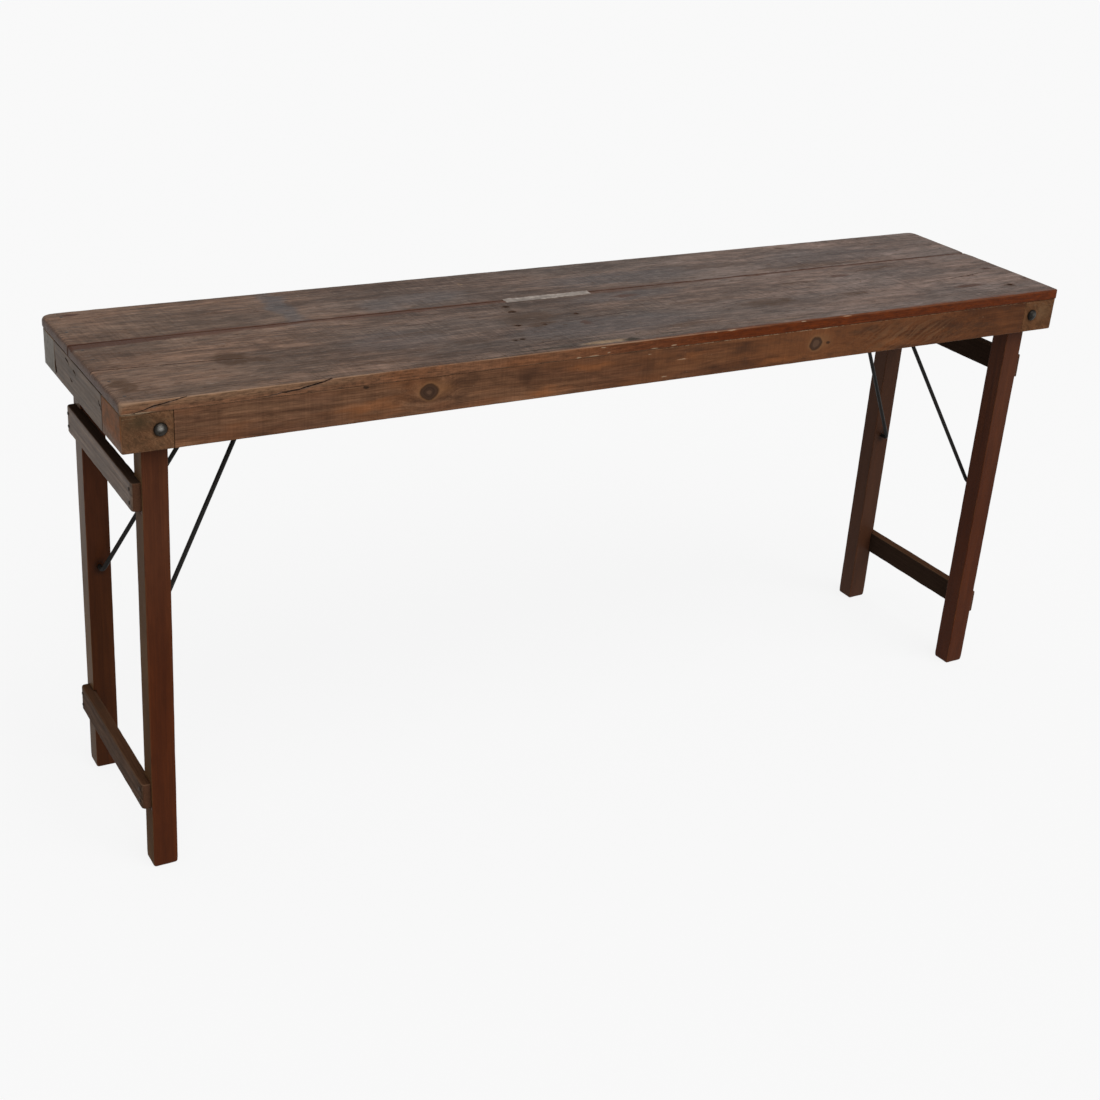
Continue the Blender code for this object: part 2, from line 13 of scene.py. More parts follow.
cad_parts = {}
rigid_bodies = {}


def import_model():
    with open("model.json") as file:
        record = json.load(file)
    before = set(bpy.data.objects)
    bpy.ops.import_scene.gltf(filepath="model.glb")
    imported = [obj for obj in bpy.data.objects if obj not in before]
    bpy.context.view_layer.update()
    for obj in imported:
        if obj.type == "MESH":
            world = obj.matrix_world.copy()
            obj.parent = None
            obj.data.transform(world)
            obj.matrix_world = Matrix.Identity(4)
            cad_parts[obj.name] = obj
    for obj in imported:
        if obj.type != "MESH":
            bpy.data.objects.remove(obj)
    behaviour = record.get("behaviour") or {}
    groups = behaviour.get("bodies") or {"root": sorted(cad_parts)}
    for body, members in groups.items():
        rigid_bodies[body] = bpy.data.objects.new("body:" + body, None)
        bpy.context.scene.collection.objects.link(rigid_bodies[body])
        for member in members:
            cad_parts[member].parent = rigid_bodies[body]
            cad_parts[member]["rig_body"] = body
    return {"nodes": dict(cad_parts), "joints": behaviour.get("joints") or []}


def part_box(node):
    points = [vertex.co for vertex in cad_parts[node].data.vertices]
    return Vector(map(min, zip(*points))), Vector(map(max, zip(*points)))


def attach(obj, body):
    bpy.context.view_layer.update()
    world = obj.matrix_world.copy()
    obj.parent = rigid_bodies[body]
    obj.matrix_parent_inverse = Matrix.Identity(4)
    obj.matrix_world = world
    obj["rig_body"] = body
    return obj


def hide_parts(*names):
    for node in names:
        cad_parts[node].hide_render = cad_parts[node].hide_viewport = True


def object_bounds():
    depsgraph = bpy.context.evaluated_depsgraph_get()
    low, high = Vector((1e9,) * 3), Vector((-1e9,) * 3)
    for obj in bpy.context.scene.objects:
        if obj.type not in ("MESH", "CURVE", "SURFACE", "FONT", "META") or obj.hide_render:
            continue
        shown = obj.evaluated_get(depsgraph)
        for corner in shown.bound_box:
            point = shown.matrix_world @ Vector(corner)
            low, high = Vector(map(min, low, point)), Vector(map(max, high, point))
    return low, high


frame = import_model()
cad_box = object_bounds()

# Camera
CAMERA_PLACE = (-1.5072, -2.3567, 1.6656)
CAMERA_TARGET = (-0.0559, -0.0019, 0.3446)
CAMERA_ROLL = math.radians(4.257)
CAMERA_LENS = 54.58

# Floor and light
BACKGROUND = 0.939
FLOOR_SIZE = 80.0
FLOOR_COLOUR = (0.36, 0.36, 0.36)
FLOOR_SHADOW = 0.24
FLOOR_GLOW = 1.126
WORLD_STRENGTH = 0.56
SUN_STRENGTH = 2.0
SUN_SPREAD = math.radians(60)
SUN_DIRECTION = (-0.15, 0.85, -1.0)
SEEN_RAYS = ("Is Camera Ray", "Is Glossy Ray", "Is Transmission Ray")
WHITE = (1, 1, 1)

# Worn wood
SKIN_DEPTH = 0.0001
EDGE_ROWS = (0.0, 0.0005, 0.0012, 0.0022, 0.0036, 0.0056)
EDGE_SHARE = 0.4
SEED_STEP = 17.31
RAGGED_SIZE = 0.022
FINE_SIZE = 0.3 * RAGGED_SIZE
FINE_SHARE = 0.6
SMALLEST_RADIUS = 0.0004
LARGEST_RADIUS = 0.45
RUB_GAIN = 1.5
WAVE_SIZE = 0.11
SHARP_ANGLE = math.radians(38)

# Wear of each kind of block: spacing of its grid, edge radius, share of unevenness, depth of waves
BOARD_WEAR = ((0.009, 0.008, 0.004), 0.0019, 0.40, 0.0003)
APRON_WEAR = ((0.010, 0.006, 0.006), 0.0013, 0.40, 0.0002)
RAIL_WEAR = ((0.006, 0.006, 0.005), 0.0015, 0.50, 0.0004)
BATTEN_WEAR = ((0.008, 0.008, 0.006), 0.0017, 0.40, 0.0003)
BLOCK_WEAR = ((0.004, 0.004, 0.004), 0.0015, 0.50, 0.0003)
LEG_WEAR = ((0.004, 0.004, 0.009), 0.0015, 0.45, 0.0003)
STRETCHER_WEAR = ((0.003, 0.006, 0.004), 0.0024, 0.45, 0.0004)

# Places where an edge is sharper or rounder: reach along X, Y and Z, and change of its radius
ANY = 9.0
ALONG_X = (ANY, 0.006, 0.006)
UPRIGHT = (0.006, 0.006, ANY)
BOARD_JOINT_DENT = (ALONG_X, -0.0012)
BOARD_END_DENT = ((0.02, ANY, 0.02), 0.0046)
BOARD_SEAM_END_DENT = ((0.02, 0.012, 0.02), -0.0022)
BOARD_RUBBED_X = 0.6
BOARD_RUBBED_DENT = ((0.4, 0.02, 0.02), 0.0016)
APRON_JOINT_DENT = (ALONG_X, -0.0008)
APRON_END_DENT = (UPRIGHT, -0.0011)
BLOCK_JOINT_DENT = (ALONG_X, -0.0007)
BLOCK_SIDE_DENT = (UPRIGHT, -0.0012)
FOOT_DENT = ((1.0, 1.0, 0.006), 0.003)

# Rise of a normal under which a face of a board counts as its edge
EDGE_RISE = 0.5

# Corner radii at the left and right ends
BOARD_CORNERS = {"front": (0.0036, 0.0050), "back": (0.0150, 0.0150)}
STRETCHER_CORNERS = {"left": 0.0075, "right": 0.0030}
BLOCK_CORNERS = {"left": 0.0016, "right": 0.0042}

# Worn places along the seam: X, reach along X, added radius
SEAM_DENTS = ((-0.62, 0.04, 0.0010), (-0.28, 0.09, 0.0014), (0.16, 0.10, 0.0012), (0.89, 0.02, 0.0030))
SEAM_DENT_REACH = 0.012

# Extra grid lines at the round head and the foot of a leg
LEG_HEAD_LINES = 24
LEG_FOOT_LINES = (0.006, 0.020, 4)

# Splits, with rates of noise per metre
SPLIT_STEP = 0.003
SPLIT_LIFT = 0.0015
SPLIT_WANDER = 0.0007
SPLIT_SWAY = 90
SPLIT_FINE_SWAY = 290
SPLIT_FINE_SHARE = 0.7
SPLIT_UNEVEN = 0.6
SPLIT_UNEVEN_RATE = 260
SPLIT_STEEPNESS = 3.0
SPLIT_DEEPEST = 0.008

# Splits in the top of the front board: X, Y and width along each
TOP_SPLITS = (
    ((-0.903, -0.069, 0.0022), (-0.73, -0.0795, 0.0016), (-0.60, -0.095, 0.0004)),
    ((-0.42, -0.027, 0.0004), (-0.35, -0.0225, 0.0014), (-0.28, -0.0185, 0.0004)),
    ((-0.12, -0.083, 0.0004), (-0.05, -0.077, 0.0018), (0.025, -0.069, 0.0004)),
    ((0.66, -0.096, 0.0004), (0.737, -0.087, 0.0014), (0.800, -0.079, 0.0024), (0.832, -0.074, 0.0004)),
    ((0.846, -0.050, 0.0004), (0.858, -0.054, 0.0022), (0.873, -0.059, 0.0004)),
    ((0.880, -0.126, 0.0004), (0.889, -0.128, 0.0020), (0.897, -0.131, 0.0004)),
    ((-0.235, -0.174, 0.0003), (-0.19, -0.166, 0.0010), (-0.14, -0.160, 0.0003)),
)

# Old nail holes in the top: X, Y and width
TOP_HOLES = (
    (-0.168, 0.017, 0.0066), (-0.171, -0.011, 0.0076), (-0.197, -0.078, 0.0066), (-0.150, -0.085, 0.0056),
    (-0.236, -0.143, 0.0046), (-0.223, -0.142, 0.0050), (-0.070, -0.052, 0.0048), (0.827, -0.155, 0.0076),
)

# Shape of a hole along the grain: place and opening as shares of its width
HOLE_SHAPE = ((-1.0, 0.2), (-0.4, 1.0), (0.4, 1.0), (1.0, 0.2))

# Splits in the front edge of the front board: X, Z and width along each
EDGE_SPLITS = (
    ((-0.880, 0.7975, 0.0007), (-0.855, 0.8045, 0.0016), (-0.825, 0.8095, 0.0012), (-0.798, 0.8150, 0.0010)),
    ((-0.688, 0.7985, 0.0005), (-0.634, 0.8035, 0.0018), (-0.605, 0.8085, 0.0022), (-0.577, 0.8150, 0.0014)),
)

# Splits in the end rails: Y, Z and width along each
END_SPLITS = (
    ((0.0690, 0.7892, 0.0002), (0.0600, 0.7862, 0.0010), (0.0510, 0.7835, 0.0002)),
    ((0.0275, 0.7832, 0.0002), (0.0225, 0.7812, 0.0009), (0.0180, 0.7790, 0.0002)),
    ((0.0480, 0.7632, 0.0002), (0.0430, 0.7618, 0.0009), (0.0385, 0.7602, 0.0002)),
    ((-0.1040, 0.7800, 0.0002), (-0.1110, 0.7762, 0.0008), (-0.1165, 0.7722, 0.0002)),
    ((0.1335, 0.7850, 0.0006), (0.1325, 0.7700, 0.0020), (0.1305, 0.7520, 0.0058), (0.1300, 0.7465, 0.0030)),
)

# Nail heads in the top: X and Y
TOP_NAILS = (
    (0.886, -0.128), (0.891, -0.048), (0.873, 0.092), (0.884, 0.168), (0.863, -0.051), (0.880, -0.190),
    (-0.883, -0.182), (-0.886, -0.118), (-0.881, -0.020), (-0.884, 0.112), (-0.872, 0.186), (-0.884, 0.024),
)
TOP_NAIL_RADIUS = 0.0032
TOP_NAIL_CROWN = 0.0006
TOP_NAIL_HEIGHT = 0.003
TOP_NAIL_TAPER = 0.8
TOP_NAIL_RAGGED = 0.12

# Filler on the seam between the boards
FILLER_ENDS = (-0.155, 0.018)
FILLER_SIDES = (0.036, 0.059)
FILLER_THICKNESS = 0.0022
FILLER_SKIN = 0.0003
FILLER_DIP = 0.00012
FILLER_ROWS = (60, 10)
FILLER_RAGGED = 0.0022

# Noise of the filler's sides and of its surface: size and seed
FILLER_NOISE = ((0.006, 3), (0.018, 5))
FILLER_DIP_NOISE = (0.008, 7)

# Fittings
RAGGED_RATE = 40
BOLT_SIDES = 40
BOLT_HEAD_HEIGHT = 0.005
BOLT_RIM_SHARE = 0.99
BOLT_RADIUS = 0.004
BOLT_BORE = 1.06 * BOLT_RADIUS
BOLT_NECK_LENGTH = 0.004
BOLT_NECK_CHAMFER = 0.0005
THREAD_PITCH = 0.00125
THREAD_DEPTH = 0.0005
THREAD_LENGTH = 0.014
DOME_STEPS = 9
DOME_START = 0.15
WASHER_EDGE = 0.2
NUT_SIDES = 48
NUT_CHAMFER = 0.0007
NAIL_SIDES = 16
NAIL_RADIUS = 0.0015
NAIL_HEAD_THICKNESS = 0.0012
NAIL_HEAD_SHARE = 0.97
NAIL_RAGGED = 0.06
NAIL_STEP = 0.0002
POINT_LENGTH = 0.004
POINT_RADIUS = 0.0002
STEP_UNDER_HEAD = 0.0001
SCREW_SIDES = 24
SCREW_RADIUS = 0.0021
SCREW_HEAD_HEIGHT = 0.0022
SCREW_SLOT_WIDTH = 0.0009
SCREW_SLOT_DEPTH = 0.0012
STAY_RADIUS = 0.00375
STAY_STANDOFF = 0.017
STAY_TOP_WIDTH = 0.118
STAY_BEND = 0.010
STAY_BEND_STEPS = 10
STAY_SIDES = 20
HOOK_EDGE = 0.0006
HOOK_EDGE_STEPS = 3

JOINTS = {joint["name"]: joint for joint in frame["joints"]}
PIVOT = Vector(JOINTS["right_leg_fold"]["pos_m"])
PIN = Vector(JOINTS["right_stay_swing"]["pos_m"])
SEAM_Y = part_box("top_board_back")[0].y
SIDES = {"left": -1, "right": 1}
ROWS = {"front": -1, "back": 1}


class Value:
    """The output of a node, which sums can use like a number."""

    def __init__(self, nodes, socket):
        self.nodes = nodes
        self.socket = socket

    def __add__(self, other):
        return self.nodes.math("ADD", self, other)

    def __sub__(self, other):
        return self.nodes.math("SUBTRACT", self, other)

    def __rsub__(self, other):
        return self.nodes.math("SUBTRACT", other, self)

    def __mul__(self, other):
        return self.nodes.math("MULTIPLY", self, other)

    def __truediv__(self, other):
        return self.nodes.math("DIVIDE", self, other)

    def __abs__(self):
        return self.nodes.math("ABSOLUTE", self)

    def sign(self):
        return self.nodes.math("SIGN", self)


class Nodes:
    """Short calls for the nodes of a material or a world. An input is a number, a tuple or a value."""

    def __init__(self, name, kind="materials"):
        self.owner = getattr(bpy.data, kind).new(name)
        self.owner.use_nodes = True
        self.tree = self.owner.node_tree
        self.shader = self.tree.nodes["Principled BSDF" if kind == "materials" else "Background"]
        self.move(self.value("ShaderNodeTexCoord", output="Object"))

    def move(self, place):
        """Take a place for the marks that follow."""
        self.place = place
        self.axes = self.parts(place)

    def value(self, kind, inputs=None, output=0, **settings):
        node = self.tree.nodes.new(kind)
        for key, setting in settings.items():
            setattr(node, key, setting)
        for socket, content in (inputs or {}).items():
            self.feed(node.inputs[socket], content)
        return Value(self, node.outputs[output])

    def feed(self, socket, content):
        if isinstance(content, Value):
            self.tree.links.new(content.socket, socket)
        elif socket.type == "RGBA":
            socket.default_value = (*content, 1.0)
        else:
            socket.default_value = content

    def math(self, operation, first, second=0.0):
        return self.value("ShaderNodeMath", {0: first, 1: second}, operation=operation)

    def most(self, values):
        result = values[0]
        for value in values[1:]:
            result = self.math("MAXIMUM", result, value)
        return result

    def affine(self, vector, factors, shift=(0, 0, 0)):
        inputs = {0: vector, 1: factors, 2: shift}
        return self.value("ShaderNodeVectorMath", inputs, operation="MULTIPLY_ADD")

    def parts(self, vector):
        first = self.value("ShaderNodeSeparateXYZ", {0: vector})
        return [Value(self, socket) for socket in first.socket.node.outputs]

    def join(self, x, y, z):
        return self.value("ShaderNodeCombineXYZ", {0: x, 1: y, 2: z})

    def noise(self, scale, detail=3.0, roughness=0.55, distortion=0.0, shift=(0, 0, 0), place=None):
        """Noise that changes faster along an axis with a larger scale."""
        vector = self.affine(self.place if place is None else place, scale, shift)
        inputs = {"Vector": vector, "Scale": 1.0, "Detail": detail, "Roughness": roughness}
        inputs["Distortion"] = distortion
        return self.value("ShaderNodeTexNoise", inputs, "Fac")

    def ragged(self, scale, reach):
        """The place, moved about by noise, which gives marks an uneven outline."""
        inputs = {"Vector": self.affine(self.place, scale), "Scale": 1.0, "Detail": 4.0}
        loose = self.value("ShaderNodeTexNoise", inputs, "Color")
        shift = self.affine(loose, [2 * r for r in reach], [-r for r in reach])
        return self.affine(shift, (1, 1, 1), self.place)

    def band(self, value, low, high, start=0.0, end=1.0):
        """A value that goes smoothly from start to end while another goes from low to high."""
        inputs = {0: value, 1: low, 2: high, 3: start, 4: end}
        return self.value("ShaderNodeMapRange", inputs, interpolation_type="SMOOTHSTEP")

    def near(self, vector, centre, size, soft):
        """One inside an ellipsoid, and nothing outside it. A size of zero leaves its axis out."""
        factors = [1 / s if s else 0 for s in size]
        shift = [-c * f for c, f in zip(centre, factors)]
        inputs = {0: self.affine(vector, factors, shift)}
        distance = self.value("ShaderNodeVectorMath", inputs, "Value", operation="LENGTH")
        return self.band(distance, 1.0, 1.0 - soft)

    def mix(self, factor, first, second, blend="MIX"):
        inputs = {0: factor, 6: first, 7: second}
        return self.value("ShaderNodeMix", inputs, 2, data_type="RGBA", blend_type=blend)

    def tint(self, colour, factors):
        return self.mix(1.0, colour, factors, "MULTIPLY")

    def shade(self, colour, value, low, high, dark, light):
        """A colour made darker or lighter while a value goes from low to high."""
        amount = self.band(value, low, high, dark, light)
        return self.tint(colour, self.join(amount, amount, amount))

    def attribute(self, name, output="Fac"):
        return self.value("ShaderNodeAttribute", output=output, attribute_name=name)

    def facing(self):
        """The direction of a worn block's surface, along X, Y and Z."""
        return self.parts(self.attribute("facing", "Vector"))

    def finish(self, colour, roughness, height=None, bump=0.3, reach=0.001, metallic=0.0, specular=0.5):
        """Feed the shader, with a bump of some strength and reach where there is a height."""
        sockets = self.shader.inputs
        self.feed(sockets["Base Color"], colour)
        self.feed(sockets["Roughness"], roughness)
        self.feed(sockets["Metallic"], metallic)
        self.feed(sockets["Specular IOR Level"], specular)
        if height is not None:
            inputs = {"Strength": bump, "Distance": reach, "Height": height}
            self.feed(sockets["Normal"], self.value("ShaderNodeBump", inputs))
        return self.owner


def turned(n):
    """The place, turned round for the back half of the table, so that its back is unlike its front."""
    x, y, z = n.axes
    return n.join(x * (y.sign() * -1.0), y, z)


def timber(name, look, marks):
    """Old wood. Growth bands and fibres run along the grain and bend round knots, with patches of tone."""
    n = Nodes(name)
    if look.get("turned"):
        n.move(turned(n))
    axes = dict(zip("xyz", n.axes))
    along = axes.pop(look["along"])
    side, depth = axes.values()
    start = n.join(along, side, depth)
    field = side + depth * 0.83 + n.noise((1.6, 7.0, 7.0), 2.0, place=start) * look["drift"]
    for centre, size, lift in look.get("swirls", ()):
        field = field + n.near(n.place, centre, size, 1.0) * lift
    grain = n.join(along, field, depth)
    rate = 1 / look["ring"]
    rings = n.noise((1.4, rate, 0.4 * rate), 3.0, 0.6, place=grain)
    fibres = n.noise((14, 620, 620), 3.0, 0.6, place=grain)
    streaks = n.band(n.noise((9, 210, 210), 4.0, 0.65, shift=(3.3, 0, 0), place=grain), 0.56, 0.70)
    pores = n.band(n.noise((34, 1300, 1300), 1.0, place=grain), 0.60, 0.76)
    mottle = n.noise((15, 62, 62), 5.0, 0.72, shift=(1.7, 0, 0), place=grain)
    tone = n.noise((3.1, 11, 11), 4.0, 0.62, shift=(2.7, 0.4, 5.1), place=start)
    colour = n.mix(n.band(rings, 0.32, 0.66), look["dark"], look["light"])
    colour = n.mix(n.band(tone, 0.42, 0.62, 0.0, 0.7), colour, look["tone"])
    colour = n.shade(colour, mottle, 0.32, 0.68, 1.0 - look["mottle"], 1.0 + look["mottle"])
    colour = n.shade(colour, fibres, 0.28, 0.72, 1.0 - look["fibre"], 1.0 + look["fibre"])
    colour = n.mix(streaks * look["streaks"], colour, look["streak_colour"])
    colour = n.mix(pores * look["pores"], colour, look["streak_colour"])
    height = fibres * 0.6 + rings * 0.5 - n.most([pores, streaks]) * 0.4
    roughness = n.band(fibres, 0.2, 0.8, *look["roughness"])
    colour, height = marks(n, colour, height, fibres, tone)
    shine = look["specular"]
    if callable(shine):
        shine = shine(n)
    return n.finish(colour, roughness, height, look["bump"], specular=shine)


def worn_edges(n, colour, tone, amount, worn_colour):
    """A lighter colour on rounded edges, partly rubbed wood and partly a painted highlight, stronger in some
    places than in others.
    """
    share = n.attribute("wear") * n.band(tone, 0.36, 0.62, 0.2 * amount, amount)
    return n.mix(share, colour, worn_colour)


def on_top(first, second):
    return first, second, 0


def on_front(first, second):
    return first, 0, second


def patches(n, place, spots, side, soft):
    """The most of some soft ellipses on one side. Each is a place, two half sizes and an amount."""
    return n.most([n.near(place, side(a, b), side(c, d), soft) * amount for a, b, c, d, amount in spots])


TOP_LOOK = {
    "along": "x", "ring": 0.014, "drift": 0.09, "fibre": 0.30, "pores": 0.6, "streaks": 0.55, "mottle": 0.22,
    "bump": 0.40, "roughness": (0.42, 0.60), "specular": 0.035,
    "dark": (0.078, 0.050, 0.037), "light": (0.128, 0.086, 0.065), "tone": (0.104, 0.078, 0.064),
    "streak_colour": (0.036, 0.020, 0.013),
}
EDGE_LOOK = {**TOP_LOOK, "turned": True, "specular": 0.08}

# Marks on the top: X, Y, half length, half width, amount
TOP_STAINS = (
    (-0.690, -0.080, 0.032, 0.042, 0.90), (-0.655, -0.100, 0.044, 0.015, 0.75),
    (-0.874, -0.139, 0.026, 0.044, 0.80), (-0.160, -0.046, 0.070, 0.040, 0.60),
    (-0.157, -0.081, 0.034, 0.013, 0.85), (0.300, -0.103, 0.085, 0.024, 0.75),
    (0.492, -0.107, 0.046, 0.014, 0.75), (0.430, -0.020, 0.055, 0.009, 0.70),
    (0.640, 0.012, 0.080, 0.008, 0.65), (0.530, 0.068, 0.220, 0.012, 0.55),
    (-0.300, -0.130, 0.060, 0.012, 0.45), (0.100, -0.160, 0.070, 0.014, 0.50),
    (-0.480, -0.170, 0.080, 0.010, 0.45), (0.330, 0.120, 0.090, 0.012, 0.40),
    (-0.780, 0.090, 0.060, 0.010, 0.45), (-0.350, -0.065, 0.120, 0.014, 0.45),
    (-0.560, -0.020, 0.110, 0.010, 0.35), (0.180, -0.060, 0.100, 0.012, 0.45),
)
TOP_DARK = (
    (-0.051, -0.200, 0.020, 0.009, 0.95), (-0.211, -0.196, 0.075, 0.005, 0.75),
    (-0.588, -0.177, 0.026, 0.005, 0.60), (0.826, -0.157, 0.012, 0.006, 0.70),
    (0.030, -0.190, 0.050, 0.005, 0.55), (-0.172, 0.000, 0.012, 0.012, 0.50),
)
TOP_RUST = (
    (0.826, -0.156, 0.018, 0.009, 0.90), (0.889, -0.129, 0.012, 0.007, 0.90),
    (0.859, -0.054, 0.018, 0.009, 0.85), (0.892, -0.047, 0.012, 0.006, 0.80),
    (0.788, -0.083, 0.030, 0.006, 0.70), (0.742, -0.136, 0.050, 0.011, 0.90),
    (0.895, 0.047, 0.014, 0.010, 0.80), (-0.856, 0.191, 0.020, 0.009, 0.95),
    (-0.078, -0.098, 0.012, 0.014, 0.75), (0.067, 0.010, 0.034, 0.010, 0.75),
    (0.534, -0.006, 0.030, 0.010, 0.80), (0.538, 0.188, 0.016, 0.007, 0.80),
    (-0.600, 0.044, 0.080, 0.008, 0.55), (-0.374, 0.040, 0.060, 0.007, 0.60),
    (0.420, 0.020, 0.040, 0.007, 0.50),
)
TOP_PALE = (
    (-0.100, -0.1970, 0.060, 0.0090, 0.85), (-0.183, 0.158, 0.003, 0.004, 0.90),
    (0.255, -0.190, 0.050, 0.003, 0.35),
)
TOP_COOL = (
    (-0.370, 0.086, 0.050, 0.045, 0.50), (-0.280, 0.105, 0.110, 0.040, 0.40),
    (-0.040, -0.120, 0.260, 0.060, 0.50), (0.120, 0.110, 0.240, 0.050, 0.50),
    (-0.420, -0.080, 0.120, 0.060, 0.40), (0.060, 0.010, 0.160, 0.035, 0.45),
    (-0.528, 0.128, 0.030, 0.120, 0.70), (0.600, 0.120, 0.200, 0.060, 0.30),
)

# Tints of the top at its left end, its middle and its right end; they carry some painted sheen, most in the
# lighter, greyer tint at the right end
TOP_TINTS = ((1.17, 1.04, 0.92), (0.91, 0.91, 0.93), (1.22, 1.25, 1.34))
STAIN_COLOUR = (0.046, 0.020, 0.007)
DARK_COLOUR = (0.024, 0.017, 0.010)
RUST_COLOUR = (0.060, 0.027, 0.017)
COOL_COLOUR = (0.076, 0.069, 0.069)
SCUFF_COLOUR = (0.22, 0.17, 0.14)
BOARD_END_COLOUR = (0.092, 0.056, 0.041)
SEAM_GAP_SHADE = (0.034, 0.014, 0.009)
SEAM_RED = (0.080, 0.036, 0.022)
SEAM_BAND = (0.060, 0.026, 0.016)
EDGE_BROWN = (0.146, 0.062, 0.027)
EDGE_RED = (0.100, 0.020, 0.003)
EDGE_TAN = (0.200, 0.118, 0.068)
FRAYED_COLOUR = (0.056, 0.032, 0.019)
TOP_EDGE_WEAR_AND_HIGHLIGHT = (0.30, 0.19, 0.12)
PALE_DUST = (0.40, 0.29, 0.19)
PALE_WOOD = (0.24, 0.16, 0.095)

# Pale chips on the front: X, Z, half length, half height
CHIPS = (
    (-0.158, 0.798, 0.005, 0.0016), (-0.130, 0.7975, 0.012, 0.0017), (-0.112, 0.810, 0.005, 0.0014),
    (-0.101, 0.800, 0.003, 0.0014), (-0.012, 0.7975, 0.007, 0.0016), (0.025, 0.799, 0.006, 0.0018),
    (0.046, 0.772, 0.010, 0.0014), (0.012, 0.7456, 0.006, 0.0014), (0.141, 0.8125, 0.010, 0.0016),
    (0.107, 0.8125, 0.003, 0.0012), (0.293, 0.8125, 0.006, 0.0014), (0.389, 0.8125, 0.010, 0.0012),
    (0.344, 0.7945, 0.009, 0.0014), (0.886, 0.784, 0.004, 0.0022), (-0.020, 0.7880, 0.004, 0.0009),
)


def chip_marks(n):
    """Chips on the front faces that show pale wood."""
    place = n.ragged((120, 0, 300), (0.005, 0, 0.0012))
    return n.most([n.near(place, (x, 0, z), (1.2 * long, 0, 0.8 * high), 0.6) for x, z, long, high in CHIPS])


def top_marks(n, colour, height, fibres, tone):
    """Stains and saw marks on the face, an edge that is browner than the face, and a worn red seam."""
    x, y, _ = n.axes
    clouds = n.noise((3.6, 13, 0), 3.0, 0.60, 0.6, shift=(2, 7, 0))
    crumbs = n.noise((28, 170, 0), 4.0, 0.80)
    saw = n.noise((1, 1, 1), 2.0, place=n.join(x * 190 + y * 14, y * 7, 0))
    sawn = n.band(n.noise((2.2, 6, 0), shift=(4, 1, 0)), 0.42, 0.6)
    saw_lines = n.band(saw, 0.35, 0.65, -1.0, 1.0) * sawn
    colour = top_face(n, colour, clouds, crumbs)
    lines = saw_lines * 0.13 + 1.0
    colour = n.tint(colour, n.join(lines, lines, lines))
    colour = top_edge(n, colour, clouds, crumbs, fibres, tone)
    return top_seam(n, colour), height + saw_lines * 0.25


def top_face(n, colour, clouds, crumbs):
    """Cool patches, stains, rust, pale and dark spots, grime round the nail holes, specks and scuffs."""
    broad = n.ragged((18, 36, 20), (0.024, 0.020, 0))
    middling = n.ragged((30, 75, 40), (0.034, 0.022, 0))
    close = n.ragged((80, 190, 80), (0.010, 0.006, 0))
    x = n.axes[0]
    # Painted sheen: the top turns lighter and greyer towards its right end, on top of its tone.
    left, middle, right = TOP_TINTS
    tint = n.mix(n.band(x, -0.8, -0.2), left, middle)
    colour = n.tint(colour, n.mix(n.band(x, 0.0, 0.7), tint, right))
    colour = n.shade(colour, clouds, 0.38, 0.62, 0.78, 1.22)
    colour = n.shade(colour, crumbs, 0.34, 0.66, 0.72, 1.30)
    cool = n.shade(COOL_COLOUR, crumbs, 0.32, 0.68, 0.7, 1.3)
    colour = n.mix(patches(n, broad, TOP_COOL, on_top, 0.6), colour, cool)
    stained = patches(n, middling, TOP_STAINS, on_top, 0.6) * n.band(crumbs, 0.36, 0.60, 0.45, 1.0)
    colour = n.mix(stained, colour, STAIN_COLOUR)
    for spots, mark in ((TOP_RUST, RUST_COLOUR), (TOP_PALE, PALE_WOOD), (TOP_DARK, DARK_COLOUR)):
        colour = n.mix(patches(n, close, spots, on_top, 0.6), colour, mark)
    grime = n.most([n.near(close, (a, b, 0), (2.0 * size, 1.8 * size, 0), 0.8) for a, b, size in TOP_HOLES])
    colour = n.mix(grime * 0.7, colour, STAIN_COLOUR)
    specks = n.band(n.noise((46, 150, 0), 3.0, 0.65), 0.61, 0.66)
    colour = n.mix(specks * 0.65, colour, STAIN_COLOUR)
    scuffs = n.band(n.noise((30, 200, 0), 4.0, 0.65, shift=(9, 0, 0)), 0.60, 0.67)
    return n.mix(scuffs * 0.45, colour, SCUFF_COLOUR)


